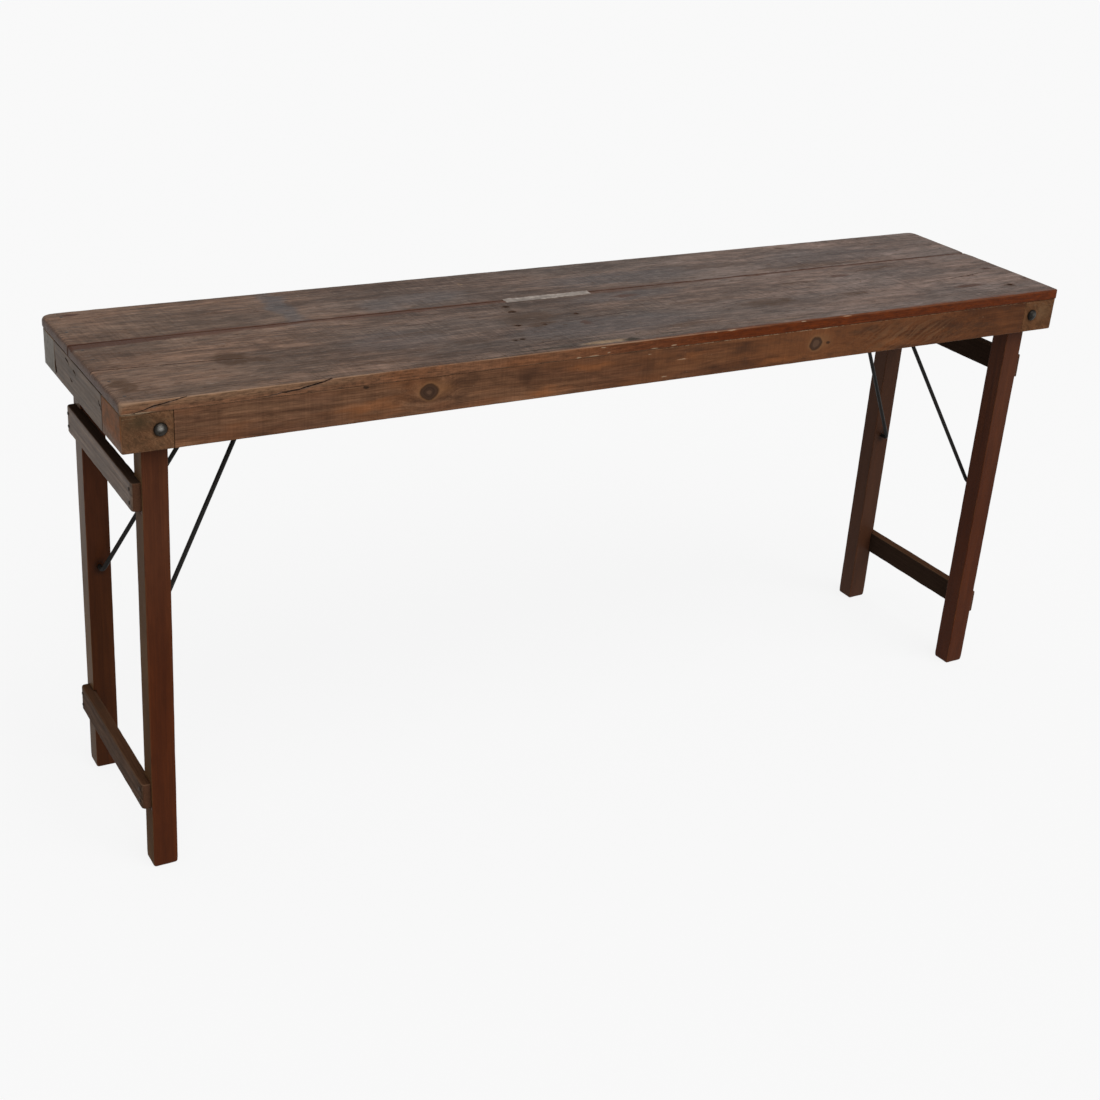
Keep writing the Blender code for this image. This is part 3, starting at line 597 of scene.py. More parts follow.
def top_edge(n, colour, clouds, crumbs, fibres, tone):
    """End grain, and long edges that go from a frayed brown to red along the table, chipped and rubbed, with
    a painted highlight strongest on the left half of the front edge.
    """
    x, y, z = n.axes
    facing = n.facing()
    end = n.shade(BOARD_END_COLOUR, crumbs, 0.3, 0.7, 0.7, 1.3)
    colour = n.mix(n.band(abs(facing[0]), 0.45, 0.85), colour, end)
    front = n.band(facing[1] * y.sign() + n.band(x, 0.0, 0.3, -0.55, -0.18), -0.10, 0.20)
    rim = n.band(y + (clouds - crumbs) * 0.03, -0.201, -0.211)
    front = n.most([front, rim * n.band(x, -0.25, -0.05, 0.15, 0.75)]) * n.band(abs(y), 0.15, 0.19)
    edge = n.mix(n.band(x + tone * 0.3, -0.08, 0.34), front_tone(n, EDGE_BROWN), EDGE_RED)
    tan = n.band(z, 0.800, 0.808) * n.band(x, -0.45, -0.62)
    edge = n.mix(tan * 0.55, edge, EDGE_TAN)
    frayed = n.band(n.noise((70, 0, 300), 4.0, 0.7), 0.48, 0.64) * n.band(x, -0.25, -0.50, 0.0, 0.6)
    edge = n.mix(frayed, edge, FRAYED_COLOUR)
    edge = n.shade(edge, fibres, 0.25, 0.75, 0.65, 1.30)
    edge = n.shade(edge, n.noise((45, 0, 150), 4.0, 0.7), 0.32, 0.68, 0.74, 1.25)
    pale = n.most([n.near(n.place, (-0.878, 0, 0.7972), (0.032, 0, 0.0014), 0.5), chip_marks(n)])
    colour = n.mix(front, colour, n.mix(pale * 0.65, edge, PALE_DUST))
    # Rubbed front edge with a painted highlight, strongest towards the left end.
    worn = worn_edges(n, colour, tone, 0.85, TOP_EDGE_WEAR_AND_HIGHLIGHT)
    return n.mix(n.band(y, -0.198, -0.206) * n.band(x, 0.35, -0.1, 0.20, 1.0), colour, worn)


def top_seam(n, colour):
    """A red line of uneven width along the seam, a dark band at its left end, and painted shade in its gap.
    """
    x, y, _ = n.axes
    swayed = y + (n.noise((30, 0, 0), 4.0, 0.65) - 0.5) * 0.016
    wide = n.band(n.noise((5, 0, 0), shift=(1, 0, 0)), 0.4, 0.65, 0.008, 0.020)
    wide = wide * n.band(x, 0.1, 0.4, 1.0, 0.45)
    red = n.band(abs(swayed - (SEAM_Y - 0.003)) / wide, 1.0, 0.3)
    shown = n.band(n.noise((3.1, 0, 0), 2.0, shift=(6, 0, 0)), 0.36, 0.52, 0.45, 0.95)
    colour = n.mix(red * shown, colour, SEAM_RED)
    wide = n.band(x, -0.66, -0.86, 0.0020, 0.0125)
    left = n.band(abs(swayed - (SEAM_Y - 0.009)) / wide, 1.1, 0.85)
    colour = n.mix(left * n.band(x, -0.69, -0.75, 0.0, 0.9), colour, SEAM_BAND)
    # Painted shade darkens the seam's gap.
    return n.mix(n.band(abs(y - SEAM_Y), 0.0022, 0.0008, 0.0, 0.9), colour, SEAM_GAP_SHADE)


# Blotches on the front: X, Z, half length, half height, amount
FRONT_DARK = (
    (-0.246, 0.776, 0.030, 0.022, 0.65), (-0.025, 0.766, 0.030, 0.026, 0.55),
    (0.172, 0.776, 0.055, 0.014, 0.70), (0.440, 0.782, 0.050, 0.010, 0.55),
    (-0.370, 0.757, 0.030, 0.008, 0.60), (-0.620, 0.770, 0.060, 0.010, 0.45),
    (0.620, 0.776, 0.070, 0.012, 0.45), (0.130, 0.748, 0.060, 0.008, 0.50),
    (-0.700, 0.742, 0.050, 0.008, 0.45),
)
FRONT_BRIGHT = (
    (-0.130, 0.779, 0.075, 0.010, 0.52), (-0.210, 0.746, 0.050, 0.012, 0.60),
    (0.250, 0.748, 0.070, 0.010, 0.60), (0.060, 0.778, 0.050, 0.008, 0.50),
    (-0.520, 0.762, 0.090, 0.012, 0.50), (0.500, 0.752, 0.060, 0.014, 0.45),
)
FRONT_DARK_COLOUR = (0.040, 0.018, 0.010)
FRONT_BRIGHT_COLOUR = (0.255, 0.090, 0.030)
FRONT_WARM_COLOUR = (0.178, 0.066, 0.025)
FRONT_BLOTCH_COLOUR = (0.060, 0.027, 0.014)

# Tints of the front at its left and right ends
FRONT_TINTS = ((1.20, 1.33, 1.60), (0.92, 0.73, 0.56))


def front_tone(n, colour):
    """Warm and dark blotches that run on across the joint between the boards and the apron."""
    colour = n.tint(colour, n.mix(n.band(n.axes[0], -0.7, 0.6), *FRONT_TINTS))
    warm = n.band(n.noise((3.4, 0, 16), 4.0, 0.65, shift=(0.3, 0, 0)), 0.45, 0.66)
    colour = n.mix(warm * 0.6, colour, FRONT_WARM_COLOUR)
    place = n.ragged((22, 0, 60), (0.040, 0, 0.014))
    for spots, mark in ((FRONT_BRIGHT, FRONT_BRIGHT_COLOUR), (FRONT_DARK, FRONT_DARK_COLOUR)):
        colour = n.mix(patches(n, place, spots, on_front, 0.9), colour, mark)
    blotches = n.band(n.noise((15, 0, 44), 5.0, 0.65, shift=(5, 0, 2)), 0.50, 0.68)
    colour = n.mix(blotches * 0.6, colour, FRONT_BLOTCH_COLOUR)
    return n.shade(colour, n.noise((330, 0, 12), 2.0, 0.6, 0.4), 0.3, 0.7, 0.92, 1.08)


APRON_LOOK = {
    "along": "x", "ring": 0.0085, "drift": 0.045, "fibre": 0.28, "pores": 0.45, "streaks": 0.4,
    "mottle": 0.24, "bump": 0.30, "roughness": (0.40, 0.56), "specular": 0.07, "turned": True,
    "dark": (0.088, 0.037, 0.016), "light": (0.162, 0.075, 0.034), "tone": (0.102, 0.043, 0.020),
    "streak_colour": (0.042, 0.018, 0.009),
    "swirls": (
        ((-0.4215, 0, 0.7725), (0.060, 0, 0.040), 0.030), ((0.3270, 0, 0.7690), (0.055, 0, 0.038), 0.028),
        ((0.56, 0, 0.7500), (0.200, 0, 0.060), 0.050),
    ),
}

# Knots in the aprons: X, Z, half length, half height, share of the pale core
KNOTS = ((-0.4212, 0.7722, 0.0172, 0.0142, 0.26), (0.3271, 0.7687, 0.0150, 0.0136, 0.60))
KNOT_RIM = (0.022, 0.011, 0.007)
KNOT_WOOD = (0.058, 0.030, 0.018)
KNOT_CORE = (0.112, 0.060, 0.036)
KNOT_HALO = (0.205, 0.098, 0.042)

# Rings of a knot from its rim inwards: share of its size, amount, colour
KNOT_RINGS = (
    (1.22, 0.55, KNOT_HALO), (1.04, 0.85, KNOT_RIM), (0.84, 0.75, KNOT_WOOD), (0.64, 0.5, KNOT_RIM),
    (0.50, 0.7, KNOT_WOOD),
)
KNOT_CORE_AMOUNT = 0.65
APRON_SPECKS = ((0.3540, 0.7677), (-0.5274, 0.7921))
SPECK_COLOUR = (0.014, 0.008, 0.005)
FEATHER_COLOUR = (0.190, 0.098, 0.048)
APRON_EDGE_WEAR_AND_HIGHLIGHT = (0.20, 0.105, 0.052)


def apron_marks(n, colour, height, fibres, tone):
    """Feathered grain, knots, dark specks, chips, pale dust along the joint under the boards, and painted
    shade towards the right end.
    """
    x, _, z = n.axes
    # Painted shade: the front darkens towards the table's right end.
    colour = n.shade(front_tone(n, colour), x, 0.0, 0.85, 1.0, 0.84)
    slope = z - x * 0.5 + n.noise((11, 0, 26), 2.0) * 0.035
    feather = n.noise((1, 1, 1), 3.0, 0.6, 0.3, place=n.join(x * 9, slope * 150, 0))
    feather = n.band(feather, 0.44, 0.62) * n.near(n.place, (0.55, 0, 0.764), (0.20, 0, 0.050), 0.9)
    colour = n.mix(feather * 0.42, colour, FEATHER_COLOUR)
    place = n.ragged((60, 0, 60), (0.004, 0, 0.004))
    for a, b, long, high, core in KNOTS:
        halo = n.near(place, (a + 0.008, 0, b + 0.003), (2.6 * long, 0, 1.5 * high), 0.8)
        colour = n.mix(halo * 0.5, colour, KNOT_HALO)
        for size, amount, ring_colour in (*KNOT_RINGS, (core, KNOT_CORE_AMOUNT, KNOT_CORE)):
            inside = n.near(place, (a, 0, b), (size * long, 0, size * high), 0.25)
            colour = n.mix(inside * amount, colour, ring_colour)
    specks = n.most([n.near(place, (a, 0, b), (0.006, 0, 0.004), 0.6) for a, b in APRON_SPECKS])
    colour = n.mix(specks * 0.8, colour, SPECK_COLOUR)
    crumbs = n.band(n.noise((90, 0, 300)), 0.56, 0.64)
    broken = n.band(n.noise((70, 0, 0), 3.0, 0.7, shift=(2, 0, 0)), 0.46, 0.56)
    thin = n.band(z, 0.7942, 0.7948) * n.band(x, 0.42, 0.34, 0.35, 0.9)
    dust = thin * n.most([crumbs, broken]) * n.band(x, -0.05, 0.10)
    flecks = n.band(n.noise((150, 300, 420), 1.0, shift=(7, 0, 0)), 0.785, 0.80)
    colour = n.mix(n.most([dust, flecks, chip_marks(n)]) * 0.6, colour, PALE_DUST)
    return worn_edges(n, colour, tone, 0.4, APRON_EDGE_WEAR_AND_HIGHLIGHT), height


JOINT_COLOUR = (0.020, 0.012, 0.008)
BLOCK_LOOK = {
    "along": "y", "ring": 0.005, "drift": 0.03, "fibre": 0.30, "pores": 0.4, "streaks": 0.3, "mottle": 0.22,
    "bump": 0.35, "roughness": (0.42, 0.6), "specular": 0.03,
    "dark": (0.116, 0.054, 0.026), "light": (0.160, 0.080, 0.040), "tone": (0.124, 0.062, 0.032),
    "streak_colour": (0.042, 0.020, 0.010),
}

# Tints of the blocks at the left and right ends
BLOCK_TINTS = ((1, 1, 1), (0.93, 0.84, 0.74))
BLOCK_MOTTLE_COLOUR = (0.064, 0.036, 0.019)
BLOCK_OLIVE = (0.040, 0.030, 0.016)
BLOCK_LIGHT = (0.165, 0.092, 0.046)
BOLT_RING_GRIME_AND_SHADE = (0.028, 0.016, 0.009)
RAW_COLOURS = ((0.200, 0.074, 0.026), (0.116, 0.052, 0.022))
SILVER_COLOURS = ((0.185, 0.165, 0.142), (0.28, 0.255, 0.225))
SILVER_SPOTS = (0.050, 0.042, 0.036)
BLOCK_EDGE_WEAR_AND_HIGHLIGHT = (0.24, 0.14, 0.08)


def block_marks(n, colour, height, fibres, tone):
    """Mottled end grain, grime and painted shade round the bolts, dark joints, and a grey weathering on the
    table's ends.
    """
    x, y, z = n.axes
    facing = n.facing()
    mottle = n.noise((75, 75, 75), 5.0, 0.7)
    colour = n.mix(n.band(mottle, 0.48, 0.66) * 0.65, colour, BLOCK_MOTTLE_COLOUR)
    colour = n.tint(colour, n.mix(n.band(x, -0.2, 0.2), *BLOCK_TINTS))
    olive = n.near(n.place, (-0.872, 0, 0.783), (0.030, 0, 0.020), 1.0)
    colour = n.mix(olive * 0.7, colour, BLOCK_OLIVE)
    light = n.near(n.place, (0.868, 0, 0.772), (0.030, 0, 0.022), 0.8)
    colour = n.mix(light * n.band(mottle, 0.4, 0.6, 0.8, 0.3), colour, BLOCK_LIGHT)
    fray = n.band(n.noise((60, 60, 330), 4.0, 0.7), 0.55, 0.64) * n.band(z, 0.780, 0.790)
    colour = n.mix(fray * 0.7, colour, PALE_WOOD)
    # A dark ring round each bolt head: grime and painted shade.
    around_bolt = n.join(abs(x) - PIVOT.x, 0, z)
    halo = n.near(around_bolt, (0, 0, PIVOT.z), (0.0135, 0, 0.0135), 0.35)
    colour = n.mix(halo * 0.75, colour, BOLT_RING_GRIME_AND_SHADE)
    pale = n.near(n.place, (-0.880, 0, 0.7965), (0.032, 0, 0.0022), 0.5)
    colour = n.mix(pale * 0.7, colour, PALE_DUST)
    colour = n.mix(n.band(facing[1] * y.sign(), -0.3, -0.7), colour, JOINT_COLOUR)
    raw = n.mix(n.band(mottle, 0.4, 0.65), *RAW_COLOURS)
    low_grey = n.band(z + mottle * 0.02, 0.770, 0.752) * 0.35
    grey = n.most([n.band(y, 0.0, 0.05), low_grey])
    silver = n.mix(n.band(n.noise((0, 210, 14)), 0.4, 0.65), *SILVER_COLOURS)
    spots = n.band(n.noise((0, 120, 60), 4.0, 0.65), 0.57, 0.66)
    silver = n.mix(spots * 0.75, silver, SILVER_SPOTS)
    colour = n.mix(n.band(abs(facing[0]), 0.5, 0.9), colour, n.mix(grey, raw, silver))
    return worn_edges(n, colour, tone, 0.5, BLOCK_EDGE_WEAR_AND_HIGHLIGHT), height


def outward_share(n, low, high):
    """One on faces that look away from the middle of the table along X."""
    return n.band(n.facing()[0] * n.axes[0].sign(), low, high)


def lath_shine(n):
    """Most sheen on the outer faces of the upper laths."""
    return outward_share(n, 0.45, 0.85) * n.band(n.axes[2], 0.30, 0.50, 0.01, 0.18)


def leg_shine(n):
    """Little sheen on the outer faces, but for the upper ends of the back legs."""
    _, y, z = n.axes
    upper_back = n.band(y, -0.1, 0.1, 0.15, 1.0) * n.band(z, 0.25, 0.65, 0.02, 0.07)
    return n.most([upper_back, (1.0 - outward_share(n, 0.3, 0.7)) * 0.07])


LATH_LOOK = {
    "along": "y", "ring": 0.006, "drift": 0.03, "fibre": 0.32, "pores": 0.5, "streaks": 0.5, "mottle": 0.28,
    "bump": 0.40, "roughness": (0.48, 0.66), "specular": lath_shine,
    "dark": (0.086, 0.059, 0.042), "light": (0.178, 0.131, 0.099), "tone": (0.122, 0.083, 0.059),
    "streak_colour": (0.038, 0.024, 0.016),
}
LEG_LOOK = {
    "along": "z", "ring": 0.011, "drift": 0.025, "fibre": 0.09, "pores": 0.16, "streaks": 0.18, "mottle": 0.1,
    "bump": 0.16, "roughness": (0.36, 0.50), "specular": leg_shine,
    "dark": (0.057, 0.0160, 0.006), "light": (0.082, 0.0235, 0.008), "tone": (0.066, 0.0190, 0.007),
    "streak_colour": (0.022, 0.008, 0.004),
}
BATTEN_LOOK = {
    "along": "y", "ring": 0.008, "drift": 0.03, "fibre": 0.25, "pores": 0.4, "streaks": 0.35, "mottle": 0.2,
    "bump": 0.3, "roughness": (0.5, 0.68), "specular": 0.2,
    "dark": (0.085, 0.050, 0.030), "light": (0.165, 0.105, 0.064), "tone": (0.110, 0.070, 0.045),
    "streak_colour": (0.035, 0.021, 0.013),
}

# Inner faces of the laths, plain and rubbed, and tints of the lower laths, the upper laths and the end rails
LATH_INNER = ((0.038, 0.022, 0.015), (0.064, 0.030, 0.016))
LATH_TINTS = ((0.62, 0.50, 0.43), (0.92, 0.86, 0.82), (0.78, 0.74, 0.68))
LATH_GRIME = (0.040, 0.025, 0.017)
LATH_END = (0.082, 0.038, 0.022)
LATH_EDGE_WEAR_AND_HIGHLIGHT = (0.16, 0.090, 0.052)
BATTEN_EDGE_WEAR_AND_HIGHLIGHT = (0.20, 0.13, 0.08)


def lath_marks(n, colour, height, fibres, tone):
    """Pale weathered outer faces, dark inner ones, and patches of grime."""
    z = n.axes[2]
    facing = n.facing()
    rubbed = n.band(facing[2], 0.4, 0.8) * n.band(z, 0.50, 0.30)
    inner = n.shade(n.mix(rubbed, *LATH_INNER), fibres, 0.25, 0.75, 0.75, 1.25)
    lower, upper, rail = LATH_TINTS
    tint = n.mix(n.band(z, 0.30, 0.50), lower, upper)
    tint = n.mix(n.band(z, 0.70, 0.74), tint, rail)
    colour = n.mix(outward_share(n, 0.45, 0.85), inner, n.tint(colour, tint))
    grime = n.band(n.noise((30, 9, 30)), 0.52, 0.72)
    colour = n.mix(grime * 0.5, colour, LATH_GRIME)
    front = n.band(facing[1], -0.4, -0.8) * n.band(z, 0.73, 0.70)
    colour = n.mix(front, colour, n.shade(LATH_END, fibres, 0.25, 0.75, 0.8, 1.2))
    colour = worn_edges(n, colour, tone, 0.45, LATH_EDGE_WEAR_AND_HIGHLIGHT)
    joint = n.band(abs(facing[1]), 0.3, 0.7) * n.band(z, 0.72, 0.735)
    return n.mix(joint, colour, JOINT_COLOUR), height


def batten_marks(n, colour, height, fibres, tone):
    return worn_edges(n, colour, tone, 0.4, BATTEN_EDGE_WEAR_AND_HIGHLIGHT), height


# Tints of the legs at their lower and upper ends, and of the lower end of the back left leg
LEG_TINTS = ((0.97, 0.80, 0.60), (1.20, 1.30, 1.52))
LEG_DIM = (0.80, 0.98, 1.10)
LEG_PLAIN = (0.068, 0.034, 0.020)
LEG_OLIVE = ((0.125, 0.068, 0.032), (0.082, 0.043, 0.020))
LEG_GREY = ((0.150, 0.106, 0.076), (0.108, 0.070, 0.047))
PIN_STAIN = (0.012, 0.006, 0.004)
LEG_EDGE_WEAR_AND_HIGHLIGHT = (0.17, 0.062, 0.026)


def leg_marks(n, colour, height, fibres, tone):
    """Outer faces weathered to grey brown, stains where the stays enter, and edges rubbed to a light red with
    a painted highlight.
    """
    x, y, z = n.axes
    colour = n.tint(colour, n.mix(n.band(z, 0.3, 0.65), *LEG_TINTS))
    back = n.band(y, -0.1, 0.1)
    dim = back * n.band(x, 0.1, -0.1) * n.band(z, 0.55, 0.30)
    colour = n.mix(dim, colour, n.tint(colour, LEG_DIM))
    plain = n.shade(LEG_PLAIN, tone, 0.3, 0.7, 0.8, 1.2)
    colour = n.mix(back * n.band(x, -0.1, 0.1) * 0.6, colour, plain)
    aged = n.band(tone, 0.38, 0.62)
    grey = n.mix(back * n.band(z, 0.25, 0.65), n.mix(aged, *LEG_OLIVE), n.mix(aged, *LEG_GREY))
    grey = n.shade(grey, fibres, 0.25, 0.75, 0.85, 1.15)
    colour = n.mix(outward_share(n, 0.5, 0.9) * 0.9, colour, grey)
    stain = n.near(n.join(abs(x), 0, z), (PIN.x, 0, PIN.z), (0.014, 0, 0.022), 0.8)
    stain = stain * n.band(n.facing()[1] * y.sign(), -0.3, -0.7)
    colour = n.mix(stain * 0.75, colour, PIN_STAIN)
    return worn_edges(n, colour, tone, 0.5, LEG_EDGE_WEAR_AND_HIGHLIGHT), height


BLACK_IRON = {
    "colour": (0.010, 0.009, 0.008), "rust": (0.030, 0.018, 0.011), "amount": 0.4,
    "roughness": (0.44, 0.60), "metallic": 0.0, "specular": 0.14,
}
DARK_STEEL = {
    "colour": (0.034, 0.031, 0.027), "rust": (0.018, 0.013, 0.010), "amount": 0.8,
    "roughness": (0.26, 0.40), "metallic": 0.95, "specular": 0.4,
}
NAIL_STEEL = {
    "colour": (0.030, 0.022, 0.017), "rust": (0.045, 0.020, 0.010), "amount": 0.8,
    "roughness": (0.5, 0.65), "metallic": 0.4, "specular": 0.3,
}
# Painted shade with grime on the bolts' rims, and a painted highlight on their crowns
BOLT_RIM_GRIME_AND_SHADE = (0.014, 0.011, 0.009)
BOLT_HIGHLIGHT = (0.34, 0.325, 0.30)
FILLER_COLOURS = ((0.20, 0.165, 0.14), (0.36, 0.31, 0.27))
FILLER_DIRT = (0.12, 0.10, 0.088)
# Colours inside the splits: dark wood and painted shade
SPLIT_WOOD_AND_SHADE = ((0.014, 0.008, 0.006), (0.050, 0.024, 0.014))


def bolt_grime_shade_and_highlight(n, colour):
    """Grime and painted shade round the rim of a bolt's head, all darker at the table's right end, and a
    painted highlight on its crown, broken up by scuffs.
    """
    x, _, z = n.axes
    middle = n.join(abs(x) - PIVOT.x, 0, z)
    rim = 1.0 - n.near(middle, (0, 0, PIVOT.z), (0.0098, 0, 0.0098), 0.35)
    colour = n.shade(n.mix(rim * 0.85, colour, BOLT_RIM_GRIME_AND_SHADE), x, -0.3, 0.3, 1.0, 0.6)
    crown = n.near(middle, (0.001, 0, PIVOT.z + 0.0024), (0.0066, 0, 0.0056), 1.0)
    # The painted highlight is broken up by noise like scuffs.
    rubbed = n.band(n.noise((520, 0, 520), 3.0, 0.6), 0.36, 0.62, 0.45, 1.0)
    return n.mix(rubbed * crown * n.band(x, 0.3, -0.3, 0.2, 0.9), colour, BOLT_HIGHLIGHT)


def iron(name, look, wear=None):
    """Old iron with faint rust, scuffs and an uneven surface."""
    n = Nodes(name)
    spots = n.band(n.noise((160, 160, 160), 4.0, 0.65), 0.5, 0.72)
    scuffs = n.noise((700, 700, 700), 2.0)
    colour = n.mix(spots * look["amount"], look["colour"], look["rust"])
    colour = n.shade(colour, scuffs, 0.3, 0.7, 0.8, 1.25)
    # For the bolts: painted shade round the rim and a painted highlight on the crown.
    if wear:
        colour = wear(n, colour)
    roughness = n.band(scuffs, 0.3, 0.7, *look["roughness"]) + spots * 0.12
    return n.finish(colour, roughness, scuffs + spots, 0.12, 0.0005, look["metallic"], look["specular"])


def filler_finish():
    """Dry, pale, crumbly filler with grey dirt rubbed into it."""
    n = Nodes("filler")
    lumps = n.noise((150, 260, 260), 4.0, 0.65)
    dirt = n.band(n.noise((28, 60, 60), shift=(3, 1, 0)), 0.40, 0.68)
    colour = n.mix(n.band(lumps, 0.35, 0.65), *FILLER_COLOURS)
    return n.finish(n.mix(dirt * 0.6, colour, FILLER_DIRT), 0.8, lumps, 0.5, specular=0.2)


def split_finish():
    """The inside of a split or an old nail hole: dark wood under painted shade."""
    n = Nodes("split")
    fibres = n.noise((30, 500, 500), 2.0)
    return n.finish(n.mix(n.band(fibres, 0.3, 0.7), *SPLIT_WOOD_AND_SHADE), 0.8, fibres, 0.3, specular=0.1)


def wander(points, size, seed):
    """A smooth random value from -1 to 1 for each point, which changes over about this size."""
    shifted = np.asarray(points) / size + SEED_STEP * seed
    return np.array([noise.noise(Vector(place)) for place in shifted])


def grid_lines(low, high, spacing):
    """Places of grid lines along one side of a block: close near its edges, then evenly spread."""
    rows = [row for row in EDGE_ROWS if row < EDGE_SHARE * (high - low)]
    count = max(2, round((high - low - 2 * rows[-1]) / spacing))
    middle = np.linspace(low + rows[-1], high - rows[-1], count + 1)
    return np.concatenate([low + np.array(rows[:-1]), middle, high - np.array(rows[-2::-1])])


def box_grid(lines):
    """Points and quads of a block's six faces, with shared points along its edges."""
    index = {}
    points = []
    quads = []

    def point(place):
        if place not in index:
            index[place] = len(points)
            points.append([lines[axis][place[axis]] for axis in range(3)])
        return index[place]

    for axis in range(3):
        first = (axis + 1) % 3
        second = (axis + 2) % 3
        for level in (0, len(lines[axis]) - 1):
            for i in range(len(lines[first]) - 1):
                for j in range(len(lines[second]) - 1):
                    corners = []
                    for a, b in ((0, 0), (1, 0), (1, 1), (0, 1)):
                        place = [level] * 3
                        place[first] = i + a
                        place[second] = j + b
                        corners.append(point(tuple(place)))
                    quads.append(corners if level else corners[::-1])
    return np.array(points), quads


def bend_corner(points, axes, corner, inward, radius):
    """Bend a block's square corner, seen along the third axis, into a round one."""
    beyond = radius - (points[:, axes] - corner) * inward
    inside = (beyond > 0).all(axis=1)
    reach = np.maximum(np.linalg.norm(beyond, axis=1), 1e-9)
    scale = np.where(inside, beyond.max(axis=1) / reach, 1.0)
    points[:, axes] = corner + inward * (radius - beyond * scale[:, None])


def worn_block(name, low, high, material, wear, dents=(), corners=(), extra=(), place=None):
    """A block of old wood with uneven round edges, dents in them and a slightly wavy surface.

    Dents are a centre, a reach and a change of the edge radius. Corners are two axes, a place, a direction
    and a radius. Extra grid lines are an axis and places along it.
    """
    spacing, edge, uneven, wave = wear
    low = np.array(low) + SKIN_DEPTH
    high = np.array(high) - SKIN_DEPTH
    lines = [grid_lines(low[axis], high[axis], spacing[axis]) for axis in range(3)]
    for axis, places in extra:
        lines[axis] = np.unique(np.concatenate([lines[axis], places]))
    points, quads = box_grid(lines)
    seed = sum(map(ord, name))
    rough = wander(points, RAGGED_SIZE, seed) + FINE_SHARE * wander(points, FINE_SIZE, seed)
    radius = edge * (1 + uneven * rough)
    for centre, reach, change in dents:
        radius += change * np.exp(-(((points - np.array(centre)) / np.array(reach)) ** 2).sum(axis=1))
    radius = np.clip(radius, SMALLEST_RADIUS, LARGEST_RADIUS * (high - low).min())[:, None]
    inner = np.clip(points, low + radius, high - radius)
    offset = points - inner
    outward = offset / np.linalg.norm(offset, axis=1)[:, None]
    rubbed = np.minimum(1.0, RUB_GAIN * np.sort(np.abs(outward), axis=1)[:, 1])
    sink = wave * (0.5 + 0.5 * wander(points, WAVE_SIZE, seed + 1))
    points = inner + outward * (radius - sink[:, None])
    for axes, corner, inward, bend in corners:
        bend_corner(points, list(axes), np.array(corner), np.array(inward), bend)
    mesh = plain_mesh(name, points.tolist(), quads, material)
    mesh.attributes.new("facing", "FLOAT_VECTOR", "POINT").data.foreach_set("vector", outward.ravel())
    mesh.attributes.new("wear", "FLOAT", "POINT").data.foreach_set("value", rubbed)
    if place is not None:
        mesh.transform(place)
    return show(name, mesh)


def plain_mesh(name, points, faces, material):
    mesh = bpy.data.meshes.new(name)
    mesh.from_pydata(points, [], faces)
    mesh.materials.append(material)
    return mesh


def show(name, content):
    piece = bpy.data.objects.new(name, content)
    bpy.context.scene.collection.objects.link(piece)
    return piece


def smooth(piece):
    piece.data.shade_smooth()
    piece.data.set_sharp_from_angle(angle=SHARP_ANGLE)
    return piece


def carve(piece, tool, operation, materials):
    """Cut a piece with another object, for good."""
    modifier = piece.modifiers.new("carve", "BOOLEAN")
    modifier.operation = operation
    modifier.solver = "EXACT"
    modifier.material_mode = materials
    modifier.object = tool
    graph = bpy.context.evaluated_depsgraph_get()
    cut = piece.evaluated_get(graph)
    carved = bpy.data.meshes.new_from_object(cut, preserve_all_data_layers=True, depsgraph=graph)
    piece.modifiers.clear()
    piece.data = carved


def stand_for(piece, *nodes):
    """Let a piece stand for these nodes and ride with their body."""
    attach(piece, frame["nodes"][nodes[0]]["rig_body"])
    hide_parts(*nodes)
    return smooth(piece)


def skin(shape, rings):
    """Faces between each ring of points and the next."""
    for here, there in zip(rings, rings[1:]):
        for step in range(len(here)):
            after = (step + 1) % len(here)
            shape.faces.new((here[step], here[after], there[after], there[step]))


def cap(shape, rings):
    """A face over the first ring and one over the last."""
    shape.faces.new(rings[0])
    shape.faces.new(rings[-1])


def place_shape(name, shape, place, material):
    mesh = bpy.data.meshes.new(name)
    shape.to_mesh(mesh)
    shape.free()
    mesh.transform(place)
    mesh.materials.append(material)
    return show(name, mesh)


def split_line(split, axis, surface):
    """Even steps along a split: a list of places on the surface and a list of widths."""
    path = np.array(split)
    distance = np.concatenate([[0], np.cumsum(np.linalg.norm(np.diff(path[:, :2], axis=0), axis=1))])
    steps = np.linspace(0, distance[-1], max(4, int(distance[-1] / SPLIT_STEP)))
    first, second, width = (np.interp(steps, distance, path[:, column]) for column in range(3))
    spots = []
    for a, b in zip(first, second):
        spot = [a, b]
        spot.insert(axis, surface)
        spots.append(Vector(spot))
    return spots, width


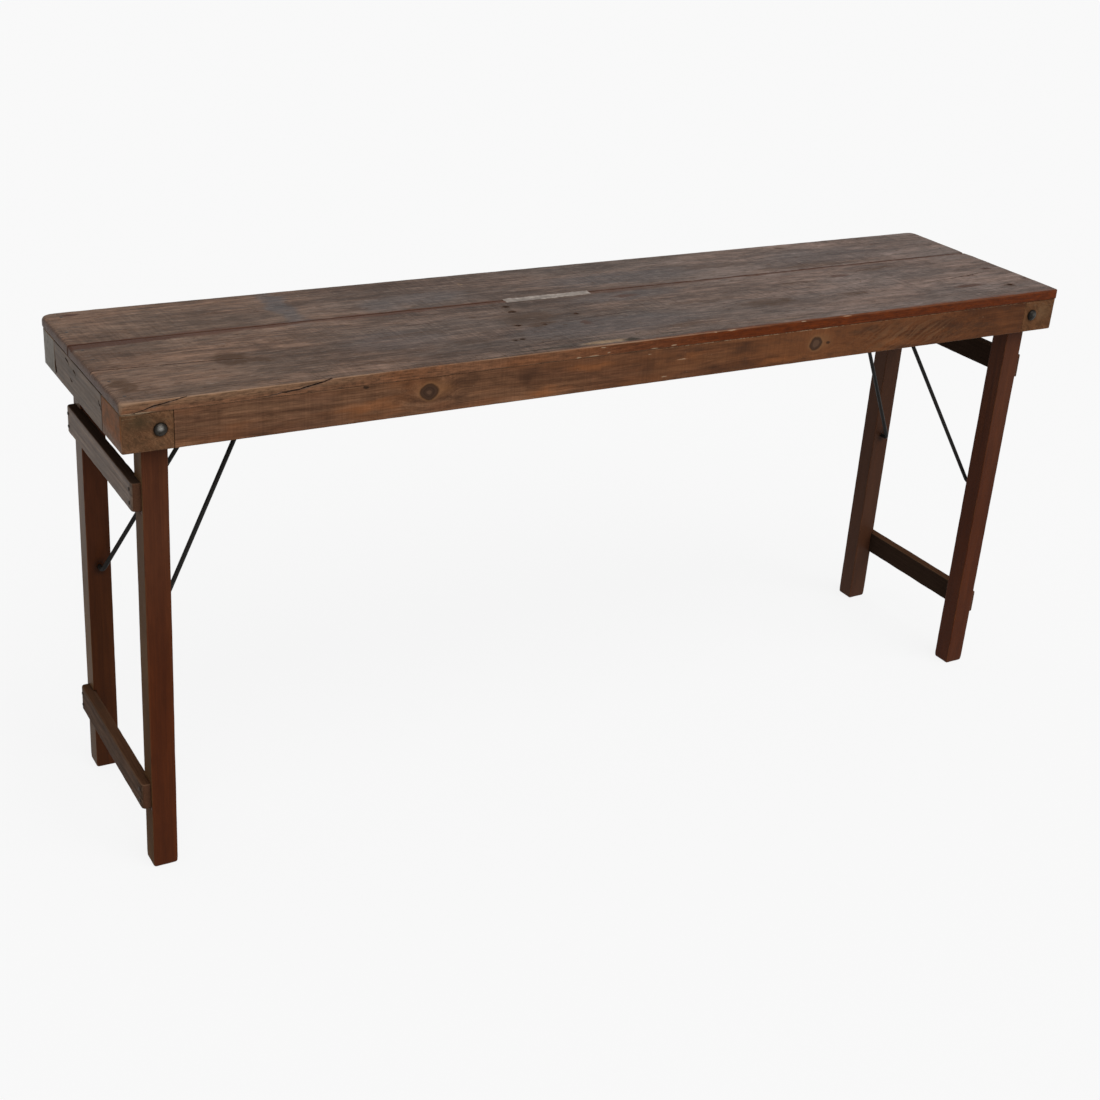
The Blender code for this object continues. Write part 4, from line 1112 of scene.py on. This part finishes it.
def cut_splits(piece, splits, normal, surface, material):
    """Cut tapering splits into a flat side. Each is a line of two places and a width in the side's plane."""
    normal = Vector(normal)
    axis = max(range(3), key=lambda index: abs(normal[index]))
    shape = bmesh.new()
    for number, split in enumerate(splits):
        spots, width = split_line(split, axis, surface)
        rings = []
        for index, spot in enumerate(spots):
            ahead = spots[min(index + 1, len(spots) - 1)] - spots[max(index - 1, 0)]
            side = normal.cross(ahead).normalized()
            jitter = noise.noise(spot * SPLIT_SWAY + Vector((number, 0, 0)))
            jitter += SPLIT_FINE_SHARE * noise.noise(spot * SPLIT_FINE_SWAY)
            opening = width[index] * (1 + SPLIT_UNEVEN * noise.noise(spot * SPLIT_UNEVEN_RATE))
            middle = spot + side * jitter * SPLIT_WANDER
            deep = min(SPLIT_STEEPNESS * opening, SPLIT_DEEPEST)
            spread = side * opening / 2 * (1 + SPLIT_LIFT / deep)
            top = middle + normal * SPLIT_LIFT
            ring = (top + spread, top - spread, middle - normal * deep)
            rings.append([shape.verts.new(corner) for corner in ring])
        skin(shape, rings)
        cap(shape, rings)
    bmesh.ops.recalc_face_normals(shape, faces=shape.faces)
    tool = place_shape("splits", shape, Matrix(), material)
    carve(piece, tool, "DIFFERENCE", "TRANSFER")
    bpy.data.objects.remove(tool)


def hole_path(x, y, width):
    """A short, wide split along the grain: an old nail hole."""
    return tuple((x + along * width, y, share * width) for along, share in HOLE_SHAPE)


def lathe(profile, sides, loop=False, ragged=0.0):
    """A turned mesh about Z. A row is a radius and a height, and may add a count of flats and their reach."""
    shape = bmesh.new()
    rings = []
    for radius, height, *flats in profile:
        ring = []
        for step in range(sides):
            angle = 2 * math.pi * step / sides
            spot = Vector((math.cos(angle), math.sin(angle), RAGGED_RATE * height))
            reach = radius * (1 + ragged * noise.noise(spot))
            if flats:
                count, apothem = flats
                sector = 2 * math.pi / count
                turn = (angle + sector / 2) % sector - sector / 2
                reach = min(reach, apothem / math.cos(turn))
            ring.append(shape.verts.new((reach * math.cos(angle), reach * math.sin(angle), height)))
        rings.append(ring)
    if loop:
        rings.append(rings[0])
    else:
        cap(shape, rings)
    skin(shape, rings)
    bmesh.ops.recalc_face_normals(shape, faces=shape.faces)
    return shape


def dome(radius, height):
    """Rows of a domed head, from its crown to its rim."""
    turns = [math.pi / 2 * (step + DOME_START) / (DOME_STEPS + DOME_START) for step in range(DOME_STEPS + 1)]
    return [(radius * math.sin(turn), height * math.cos(turn)) for turn in turns]


def leg_place(name):
    """The frame of a leg pair: its origin on the pivot and its Z along the legs."""
    pivot = Vector(JOINTS[f"{name}_leg_fold"]["pos_m"])
    pins = Vector(JOINTS[f"{name}_stay_swing"]["pos_m"])
    up = (pivot - pins).normalized()
    back = Vector((0, 1, 0))
    return Matrix.Translation(pivot) @ Matrix((back.cross(up), back, up)).transposed().to_4x4()


def local_box(node, place):
    """Lowest and highest corner of a node in a frame of its own."""
    inverse = place.inverted()
    corners = np.array([inverse @ vertex.co for vertex in frame["nodes"][node].data.vertices])
    return corners.min(axis=0), corners.max(axis=0)


def head_turn(direction):
    """A turn that points a turned shape's head in a direction."""
    return Vector(direction).to_track_quat("Z", "X").to_matrix().to_4x4()


def make_board(row, way, materials):
    node = f"top_board_{row}"
    low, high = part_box(node)
    edge_y = low.y if way < 0 else high.y
    seam_y = high.y if way < 0 else low.y
    corners = []
    for x, inward, bend in zip((low.x, high.x), (1, -1), BOARD_CORNERS[row]):
        corners.append(((0, 1), (x, edge_y), (inward, -way), bend))
    dents = [
        ((0, edge_y, low.z), *BOARD_JOINT_DENT),
        ((low.x, 0, high.z), *BOARD_END_DENT),
        ((low.x, seam_y, high.z), *BOARD_SEAM_END_DENT),
        ((BOARD_RUBBED_X, edge_y, high.z), *BOARD_RUBBED_DENT),
    ]
    for x, reach, change in SEAM_DENTS:
        dents.append(((x, seam_y, high.z), (reach, SEAM_DENT_REACH, SEAM_DENT_REACH), change))
    board = worn_block(f"{node}_worn", low, high, materials["top"], BOARD_WEAR, dents, corners)
    board.data.materials.append(materials["split"])
    board.data.materials.append(materials["edge"])
    edge_index = len(board.data.materials) - 1
    for polygon in board.data.polygons:
        if abs(polygon.normal.z) < EDGE_RISE:
            polygon.material_index = edge_index
    if row == "front":
        holes = tuple(hole_path(*hole) for hole in TOP_HOLES)
        cut_splits(board, TOP_SPLITS + holes, (0, 0, 1), high.z - SKIN_DEPTH, materials["split"])
        cut_splits(board, EDGE_SPLITS, (0, -1, 0), low.y + SKIN_DEPTH, materials["split"])
    stand_for(board, node)


def make_top_nails(material):
    """All the nail heads in the boards as one piece."""
    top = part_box("top_board_front")[1].z
    rows = dome(TOP_NAIL_RADIUS, TOP_NAIL_CROWN) + [(TOP_NAIL_RADIUS * TOP_NAIL_TAPER, -TOP_NAIL_HEIGHT)]
    whole = bmesh.new()
    for x, y in TOP_NAILS:
        shape = lathe(rows, NAIL_SIDES, ragged=TOP_NAIL_RAGGED)
        shape.transform(Matrix.Translation((x, y, top - TOP_NAIL_CROWN)))
        mesh = bpy.data.meshes.new("nail")
        shape.to_mesh(mesh)
        shape.free()
        whole.from_mesh(mesh)
        bpy.data.meshes.remove(mesh)
    heads = place_shape("top_nail_heads", whole, Matrix(), material)
    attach(heads, "table_top")
    smooth(heads)


def make_filler(material):
    """A thin patch with ragged sides that covers a stretch of the seam."""
    top = cad_box[1].z
    lines = [
        np.linspace(*FILLER_ENDS, FILLER_ROWS[0]),
        np.linspace(*FILLER_SIDES, FILLER_ROWS[1]),
        np.array([top - FILLER_THICKNESS, top - FILLER_SKIN, top]),
    ]
    points, quads = box_grid(lines)
    middle = np.array([np.mean(FILLER_ENDS), np.mean(FILLER_SIDES)])
    half = np.array([np.ptp(FILLER_ENDS), np.ptp(FILLER_SIDES)]) / 2
    ragged = sum(wander(points * (1, 1, 0), size, seed) for size, seed in FILLER_NOISE)
    share = (points[:, :2] - middle) / half
    points[:, :2] -= share * np.abs(share) * FILLER_RAGGED * (1 + ragged[:, None])
    upper = points[:, 2] > top - FILLER_SKIN / 2
    points[upper, 2] -= FILLER_DIP * (1 + wander(points[upper], *FILLER_DIP_NOISE))
    mesh = plain_mesh("seam_filler", points.tolist(), quads, material)
    filler = show("seam_filler", mesh)
    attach(filler, "table_top")
    smooth(filler)


def make_apron(row, way, material):
    node = f"apron_{row}"
    low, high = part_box(node)
    face = low.y if way < 0 else high.y
    dents = [((0, face, high.z), *APRON_JOINT_DENT)]
    dents += [((x, face, PIVOT.z), *APRON_END_DENT) for x in (low.x, high.x)]
    stand_for(worn_block(f"{node}_worn", low, high, material, APRON_WEAR, dents), node)


def make_end(name, side, materials):
    """The rail, the batten and the two corner blocks at one end of the table."""
    node = f"end_rail_{name}"
    low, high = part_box(node)
    face = low.x if side < 0 else high.x
    rail = worn_block(f"{node}_worn", low, high, materials["lath"], RAIL_WEAR)
    rail.data.materials.append(materials["split"])
    cut_splits(rail, END_SPLITS, (side, 0, 0), face - side * SKIN_DEPTH, materials["split"])
    stand_for(rail, node)
    node = f"batten_{name}"
    stand_for(worn_block(f"{node}_worn", *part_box(node), materials["batten"], BATTEN_WEAR), node)
    for row, way in ROWS.items():
        make_block(name, side, row, way, materials["block"])


def make_block(name, side, row, way, material):
    node = f"corner_block_{row}_{name}"
    low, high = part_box(node)
    outer_x, inner_x = (low.x, high.x) if side < 0 else (high.x, low.x)
    outer_y = low.y if way < 0 else high.y
    corners = (
        ((0, 1), (outer_x, outer_y), (-side, -way), BOARD_CORNERS[row][side > 0]),
        ((0, 2), (outer_x, low.z), (-side, 1), BLOCK_CORNERS[name]),
    )
    dents = (
        ((inner_x, outer_y, PIVOT.z), *BLOCK_SIDE_DENT),
        ((0, outer_y, high.z), *BLOCK_JOINT_DENT),
    )
    block = worn_block(f"{node}_worn", low, high, material, BLOCK_WEAR, dents, corners)
    carve(block, frame["nodes"][node], "INTERSECT", "INDEX")
    stand_for(block, node)


def make_leg_frame(name, side, materials):
    place = leg_place(name)
    for row in ROWS:
        make_leg(f"leg_{row}_{name}", place, materials["leg"])
    for tier in ("upper", "lower"):
        node = f"stretcher_{tier}_{name}"
        low, high = local_box(node, place)
        outer = low[0] if side < 0 else high[0]
        bend = STRETCHER_CORNERS[name]
        corners = [((0, 1), (outer, end), (-side, way), bend) for end, way in ((low[1], 1), (high[1], -1))]
        wood = materials["lath"]
        bar = worn_block(f"{node}_worn", low, high, wood, STRETCHER_WEAR, corners=corners, place=place)
        stand_for(bar, node)
        for row in ROWS:
            for level in ("high", "low"):
                make_nail(f"nail_{tier}_{row}_{name}_{level}", side, place, materials["nail"])


def make_leg(node, place, material):
    """A leg with a round head about its pivot."""
    low, high = local_box(node, place)
    half = high[0]
    foot = low[2]
    corners = [((0, 2), (way * half, half), (-way, -1), half) for way in (-1, 1)]
    dents = [((0, (low[1] + high[1]) / 2, foot), *FOOT_DENT)]
    first, last, count = LEG_FOOT_LINES
    extra = [(2, np.linspace(-half, half, LEG_HEAD_LINES))]
    extra.append((2, np.linspace(foot + first, foot + last, count)))
    leg = worn_block(f"{node}_worn", low, high, material, LEG_WEAR, dents, corners, extra, place)
    carve(leg, frame["nodes"][node], "INTERSECT", "INDEX")
    stand_for(leg, node)


def make_nail(node, side, place, material):
    low, high = local_box(node, place)
    head = NAIL_HEAD_SHARE * (high[2] - low[2]) / 2
    length = high[0] - low[0] - NAIL_HEAD_THICKNESS
    rows = dome(head, NAIL_HEAD_THICKNESS) + [(head, 0), (NAIL_RADIUS, -NAIL_STEP)]
    rows += [(NAIL_RADIUS, POINT_LENGTH - length), (POINT_RADIUS, -length)]
    outer = (high[0] if side > 0 else low[0]) - side * NAIL_HEAD_THICKNESS
    spot = Matrix.Translation((outer, (low[1] + high[1]) / 2, (low[2] + high[2]) / 2))
    turn = place @ spot @ head_turn((side, 0, 0))
    shape = lathe(rows, NAIL_SIDES, ragged=NAIL_RAGGED)
    stand_for(place_shape(f"{node}_worn", shape, turn, material), node)


def bent_path(corners, bend):
    """Points in the YZ plane through some corners, with a round bend at each inner one."""
    path = [Vector((0, *corners[0]))]
    for before, corner, after in zip(corners, corners[1:], corners[2:]):
        corner = Vector((0, *corner))
        back = (Vector((0, *before)) - corner).normalized()
        ahead = (Vector((0, *after)) - corner).normalized()
        half = back.angle(ahead) / 2
        centre = corner + (back + ahead).normalized() * bend / math.sin(half)
        start = corner + back * bend / math.tan(half) - centre
        axis = back.cross(ahead).normalized()
        for step in range(STAY_BEND_STEPS + 1):
            turn = -(math.pi - 2 * half) * step / STAY_BEND_STEPS
            path.append(centre + Matrix.Rotation(turn, 3, axis) @ start)
    path.append(Vector((0, *corners[-1])))
    return path


def round_rod(path, radius, sides):
    """A round rod along a path in the YZ plane."""
    shape = bmesh.new()
    rings = []
    for index, point in enumerate(path):
        ahead = (path[min(index + 1, len(path) - 1)] - point).normalized()
        behind = (point - path[max(index - 1, 0)]).normalized()
        across = (ahead + behind).normalized().cross(Vector((1, 0, 0)))
        ring = []
        for step in range(sides):
            angle = 2 * math.pi * step / sides
            offset = across * math.cos(angle) + Vector((math.sin(angle), 0, 0))
            ring.append(shape.verts.new(point + offset * radius))
        rings.append(ring)
    cap(shape, rings)
    skin(shape, rings)
    bmesh.ops.recalc_face_normals(shape, faces=shape.faces)
    return shape


def make_stay(name, side, material):
    node = f"stay_{name}"
    low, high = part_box(node)
    pins = Vector(JOINTS[f"{name}_stay_swing"]["pos_m"])
    inner_x = high.x - STAY_RADIUS if side < 0 else low.x + STAY_RADIUS
    reach = Vector((inner_x, 0, high.z - STAY_RADIUS)) - pins
    leg_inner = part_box(f"leg_back_{name}")[0].y
    half = [(high.y, 0), (leg_inner - STAY_STANDOFF, 0), (STAY_TOP_WIDTH / 2, reach.length)]
    corners = [(-y, z) for y, z in half] + half[::-1]
    turn = Matrix.Rotation(math.atan2(reach.x, reach.z), 4, "Y")
    shape = round_rod(bent_path(corners, STAY_BEND), STAY_RADIUS, STAY_SIDES)
    stand_for(place_shape(f"{node}_smooth", shape, Matrix.Translation(pins) @ turn, material), node)


def make_bolt(spot, way, material):
    """A bolt with a domed head, a square neck and a thread."""
    node = f"pivot_bolt_{spot}"
    low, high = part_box(node)
    middle = (low + high) / 2
    head = (high.x - low.x) / 2
    length = high.y - low.y - BOLT_HEAD_HEIGHT
    square = (4, BOLT_RADIUS)
    rows = dome(head, BOLT_HEAD_HEIGHT) + [(head * BOLT_RIM_SHARE, 0)]
    rows += [(2 * BOLT_RADIUS, -STEP_UNDER_HEAD, *square), (2 * BOLT_RADIUS, -BOLT_NECK_LENGTH, *square)]
    rows += [(BOLT_RADIUS, -BOLT_NECK_LENGTH - BOLT_NECK_CHAMFER), (BOLT_RADIUS, THREAD_LENGTH - length)]
    for step in range(int(THREAD_LENGTH / THREAD_PITCH)):
        level = THREAD_LENGTH - length - step * THREAD_PITCH
        rows += [(BOLT_RADIUS - THREAD_DEPTH, level - THREAD_PITCH / 2), (BOLT_RADIUS, level - THREAD_PITCH)]
    rows += [(BOLT_RADIUS - THREAD_DEPTH, -length)]
    seat_y = low.y + BOLT_HEAD_HEIGHT if way < 0 else high.y - BOLT_HEAD_HEIGHT
    place = Matrix.Translation((middle.x, seat_y, middle.z)) @ head_turn((0, way, 0))
    stand_for(place_shape(f"{node}_worn", lathe(rows, BOLT_SIDES), place, material), node)


def make_ring(node, way, rows, sides, material):
    """A turned ring about the middle of its node: a washer or a nut."""
    low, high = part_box(node)
    place = Matrix.Translation((low + high) / 2) @ head_turn((0, way, 0))
    stand_for(place_shape(f"{node}_worn", lathe(rows, sides, loop=True), place, material), node)


def make_washer(spot, way, material):
    node = f"pivot_washer_{spot}"
    low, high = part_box(node)
    rim = (high.x - low.x) / 2
    half = (high.y - low.y) / 2
    edge = WASHER_EDGE * 2 * half
    rows = [(BOLT_BORE, half), (rim - edge, half), (rim, half - edge)]
    rows += [(radius, -level) for radius, level in rows[::-1]]
    make_ring(node, way, rows, BOLT_SIDES, material)


def make_nut(spot, way, material):
    node = f"pivot_nut_{spot}"
    low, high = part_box(node)
    half = (high.y - low.y) / 2
    flat = min(high.x - low.x, high.z - low.z) / 2
    hexagon = (6, flat)
    rows = [(BOLT_BORE, half), (flat, half)]
    rows.append((flat + 2 * NUT_CHAMFER, half - NUT_CHAMFER, *hexagon))
    rows.append((2 * flat, half - 2 * NUT_CHAMFER, *hexagon))
    rows += [(radius, -level, *flats) for radius, level, *flats in rows[::-1]]
    make_ring(node, way, rows, NUT_SIDES, material)


def make_screw(node, direction, material):
    """A round-headed screw with a slot."""
    low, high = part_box(node)
    middle = (low + high) / 2
    way = Vector(direction)
    size = high - low
    whole = abs(way.dot(size))
    length = whole - SCREW_HEAD_HEIGHT
    head = min(size) / 2
    rows = dome(head, SCREW_HEAD_HEIGHT) + [(SCREW_RADIUS, -STEP_UNDER_HEAD)]
    rows += [(SCREW_RADIUS, POINT_LENGTH - length), (POINT_RADIUS, -length)]
    seat = middle + way * (whole / 2 - SCREW_HEAD_HEIGHT)
    place = Matrix.Translation(seat) @ head_turn(direction)
    screw = place_shape(f"{node}_slotted", lathe(rows, SCREW_SIDES), place, material)
    lines = [
        np.array([-head * 2, head * 2]),
        np.array([-SCREW_SLOT_WIDTH / 2, SCREW_SLOT_WIDTH / 2]),
        np.array([SCREW_HEAD_HEIGHT - SCREW_SLOT_DEPTH, 2 * SCREW_HEAD_HEIGHT]),
    ]
    slot, quads = box_grid(lines)
    mesh = plain_mesh("slot", slot.tolist(), quads, material)
    mesh.transform(place)
    tool = show("slot", mesh)
    carve(screw, tool, "DIFFERENCE", "INDEX")
    bpy.data.objects.remove(tool)
    stand_for(screw, node)


def finish_hooks(material):
    for name in SIDES:
        hook = frame["nodes"][f"stay_hook_{name}"]
        hook.data.materials.clear()
        hook.data.materials.append(material)
        bevel = hook.modifiers.new("worn_edges", "BEVEL")
        bevel.width = HOOK_EDGE
        bevel.segments = HOOK_EDGE_STEPS
        bevel.limit_method = "ANGLE"
        bevel.angle_limit = SHARP_ANGLE


def seen_rays(n):
    """One for what is seen straight, in a reflection or through glass, and nothing for other light."""
    return n.most([n.value("ShaderNodeLightPath", output=kind) for kind in SEEN_RAYS])


def make_floor():
    n = Nodes("floor")
    n.finish(FLOOR_COLOUR, 1.0, specular=0.0)
    glow = n.value("ShaderNodeEmission", {"Color": WHITE, "Strength": FLOOR_GLOW})
    share = seen_rays(n) * (1.0 - FLOOR_SHADOW)
    mixed = n.value("ShaderNodeMixShader", {0: share, 1: Value(n, n.shader.outputs[0]), 2: glow})
    n.feed(n.tree.nodes["Material Output"].inputs["Surface"], mixed)
    half = FLOOR_SIZE / 2
    corners = [(-half, -half, 0), (half, -half, 0), (half, half, 0), (-half, half, 0)]
    mesh = plain_mesh("floor", corners, [(0, 1, 2, 3)], n.owner)
    show("floor", mesh)


def make_light():
    n = Nodes("studio", "worlds")
    n.feed(n.shader.inputs["Color"], WHITE)
    n.feed(n.shader.inputs["Strength"], n.band(seen_rays(n), 0.0, 1.0, WORLD_STRENGTH, BACKGROUND))
    bpy.context.scene.world = n.owner
    lamp = bpy.data.lights.new("key", "SUN")
    lamp.energy = SUN_STRENGTH
    lamp.angle = SUN_SPREAD
    key = show("key", lamp)
    key.rotation_mode = "QUATERNION"
    key.rotation_quaternion = Vector(SUN_DIRECTION).to_track_quat("-Z", "Y")


def make_camera():
    camera = show("camera", bpy.data.cameras.new("camera"))
    camera.data.lens = CAMERA_LENS
    camera.location = CAMERA_PLACE
    camera.rotation_mode = "QUATERNION"
    aim = Vector(CAMERA_TARGET) - Vector(CAMERA_PLACE)
    camera.rotation_quaternion = aim.to_track_quat("-Z", "Y") @ Quaternion((0, 0, 1), CAMERA_ROLL)
    bpy.context.scene.camera = camera
    bpy.context.scene.view_settings.view_transform = "Standard"


def main():
    materials = {
        "top": timber("top_wood", TOP_LOOK, top_marks),
        "edge": timber("edge_wood", EDGE_LOOK, top_marks),
        "apron": timber("apron_wood", APRON_LOOK, apron_marks),
        "block": timber("block_wood", BLOCK_LOOK, block_marks),
        "lath": timber("lath_wood", LATH_LOOK, lath_marks),
        "leg": timber("leg_wood", LEG_LOOK, leg_marks),
        "batten": timber("batten_wood", BATTEN_LOOK, batten_marks),
        "iron": iron("black_iron", BLACK_IRON),
        "steel": iron("dark_steel", DARK_STEEL, bolt_grime_shade_and_highlight),
        "nail": iron("nail_steel", NAIL_STEEL),
        "filler": filler_finish(),
        "split": split_finish(),
    }
    for row, way in ROWS.items():
        make_board(row, way, materials)
    make_top_nails(materials["nail"])
    make_filler(materials["filler"])
    for row, way in ROWS.items():
        make_apron(row, way, materials["apron"])
    for name, side in SIDES.items():
        make_end(name, side, materials)
    for name, side in SIDES.items():
        make_leg_frame(name, side, materials)
        make_stay(name, side, materials["iron"])
        make_screw(f"hook_screw_{name}", (-side, 0, 0), materials["steel"])
        for row, way in ROWS.items():
            for make_fitting in (make_bolt, make_washer, make_nut):
                make_fitting(f"{row}_{name}", way, materials["steel"])
            make_screw(f"batten_screw_{row}_{name}", (0, 0, -1), materials["steel"])
    finish_hooks(materials["iron"])
    make_floor()
    make_light()
    make_camera()


main()
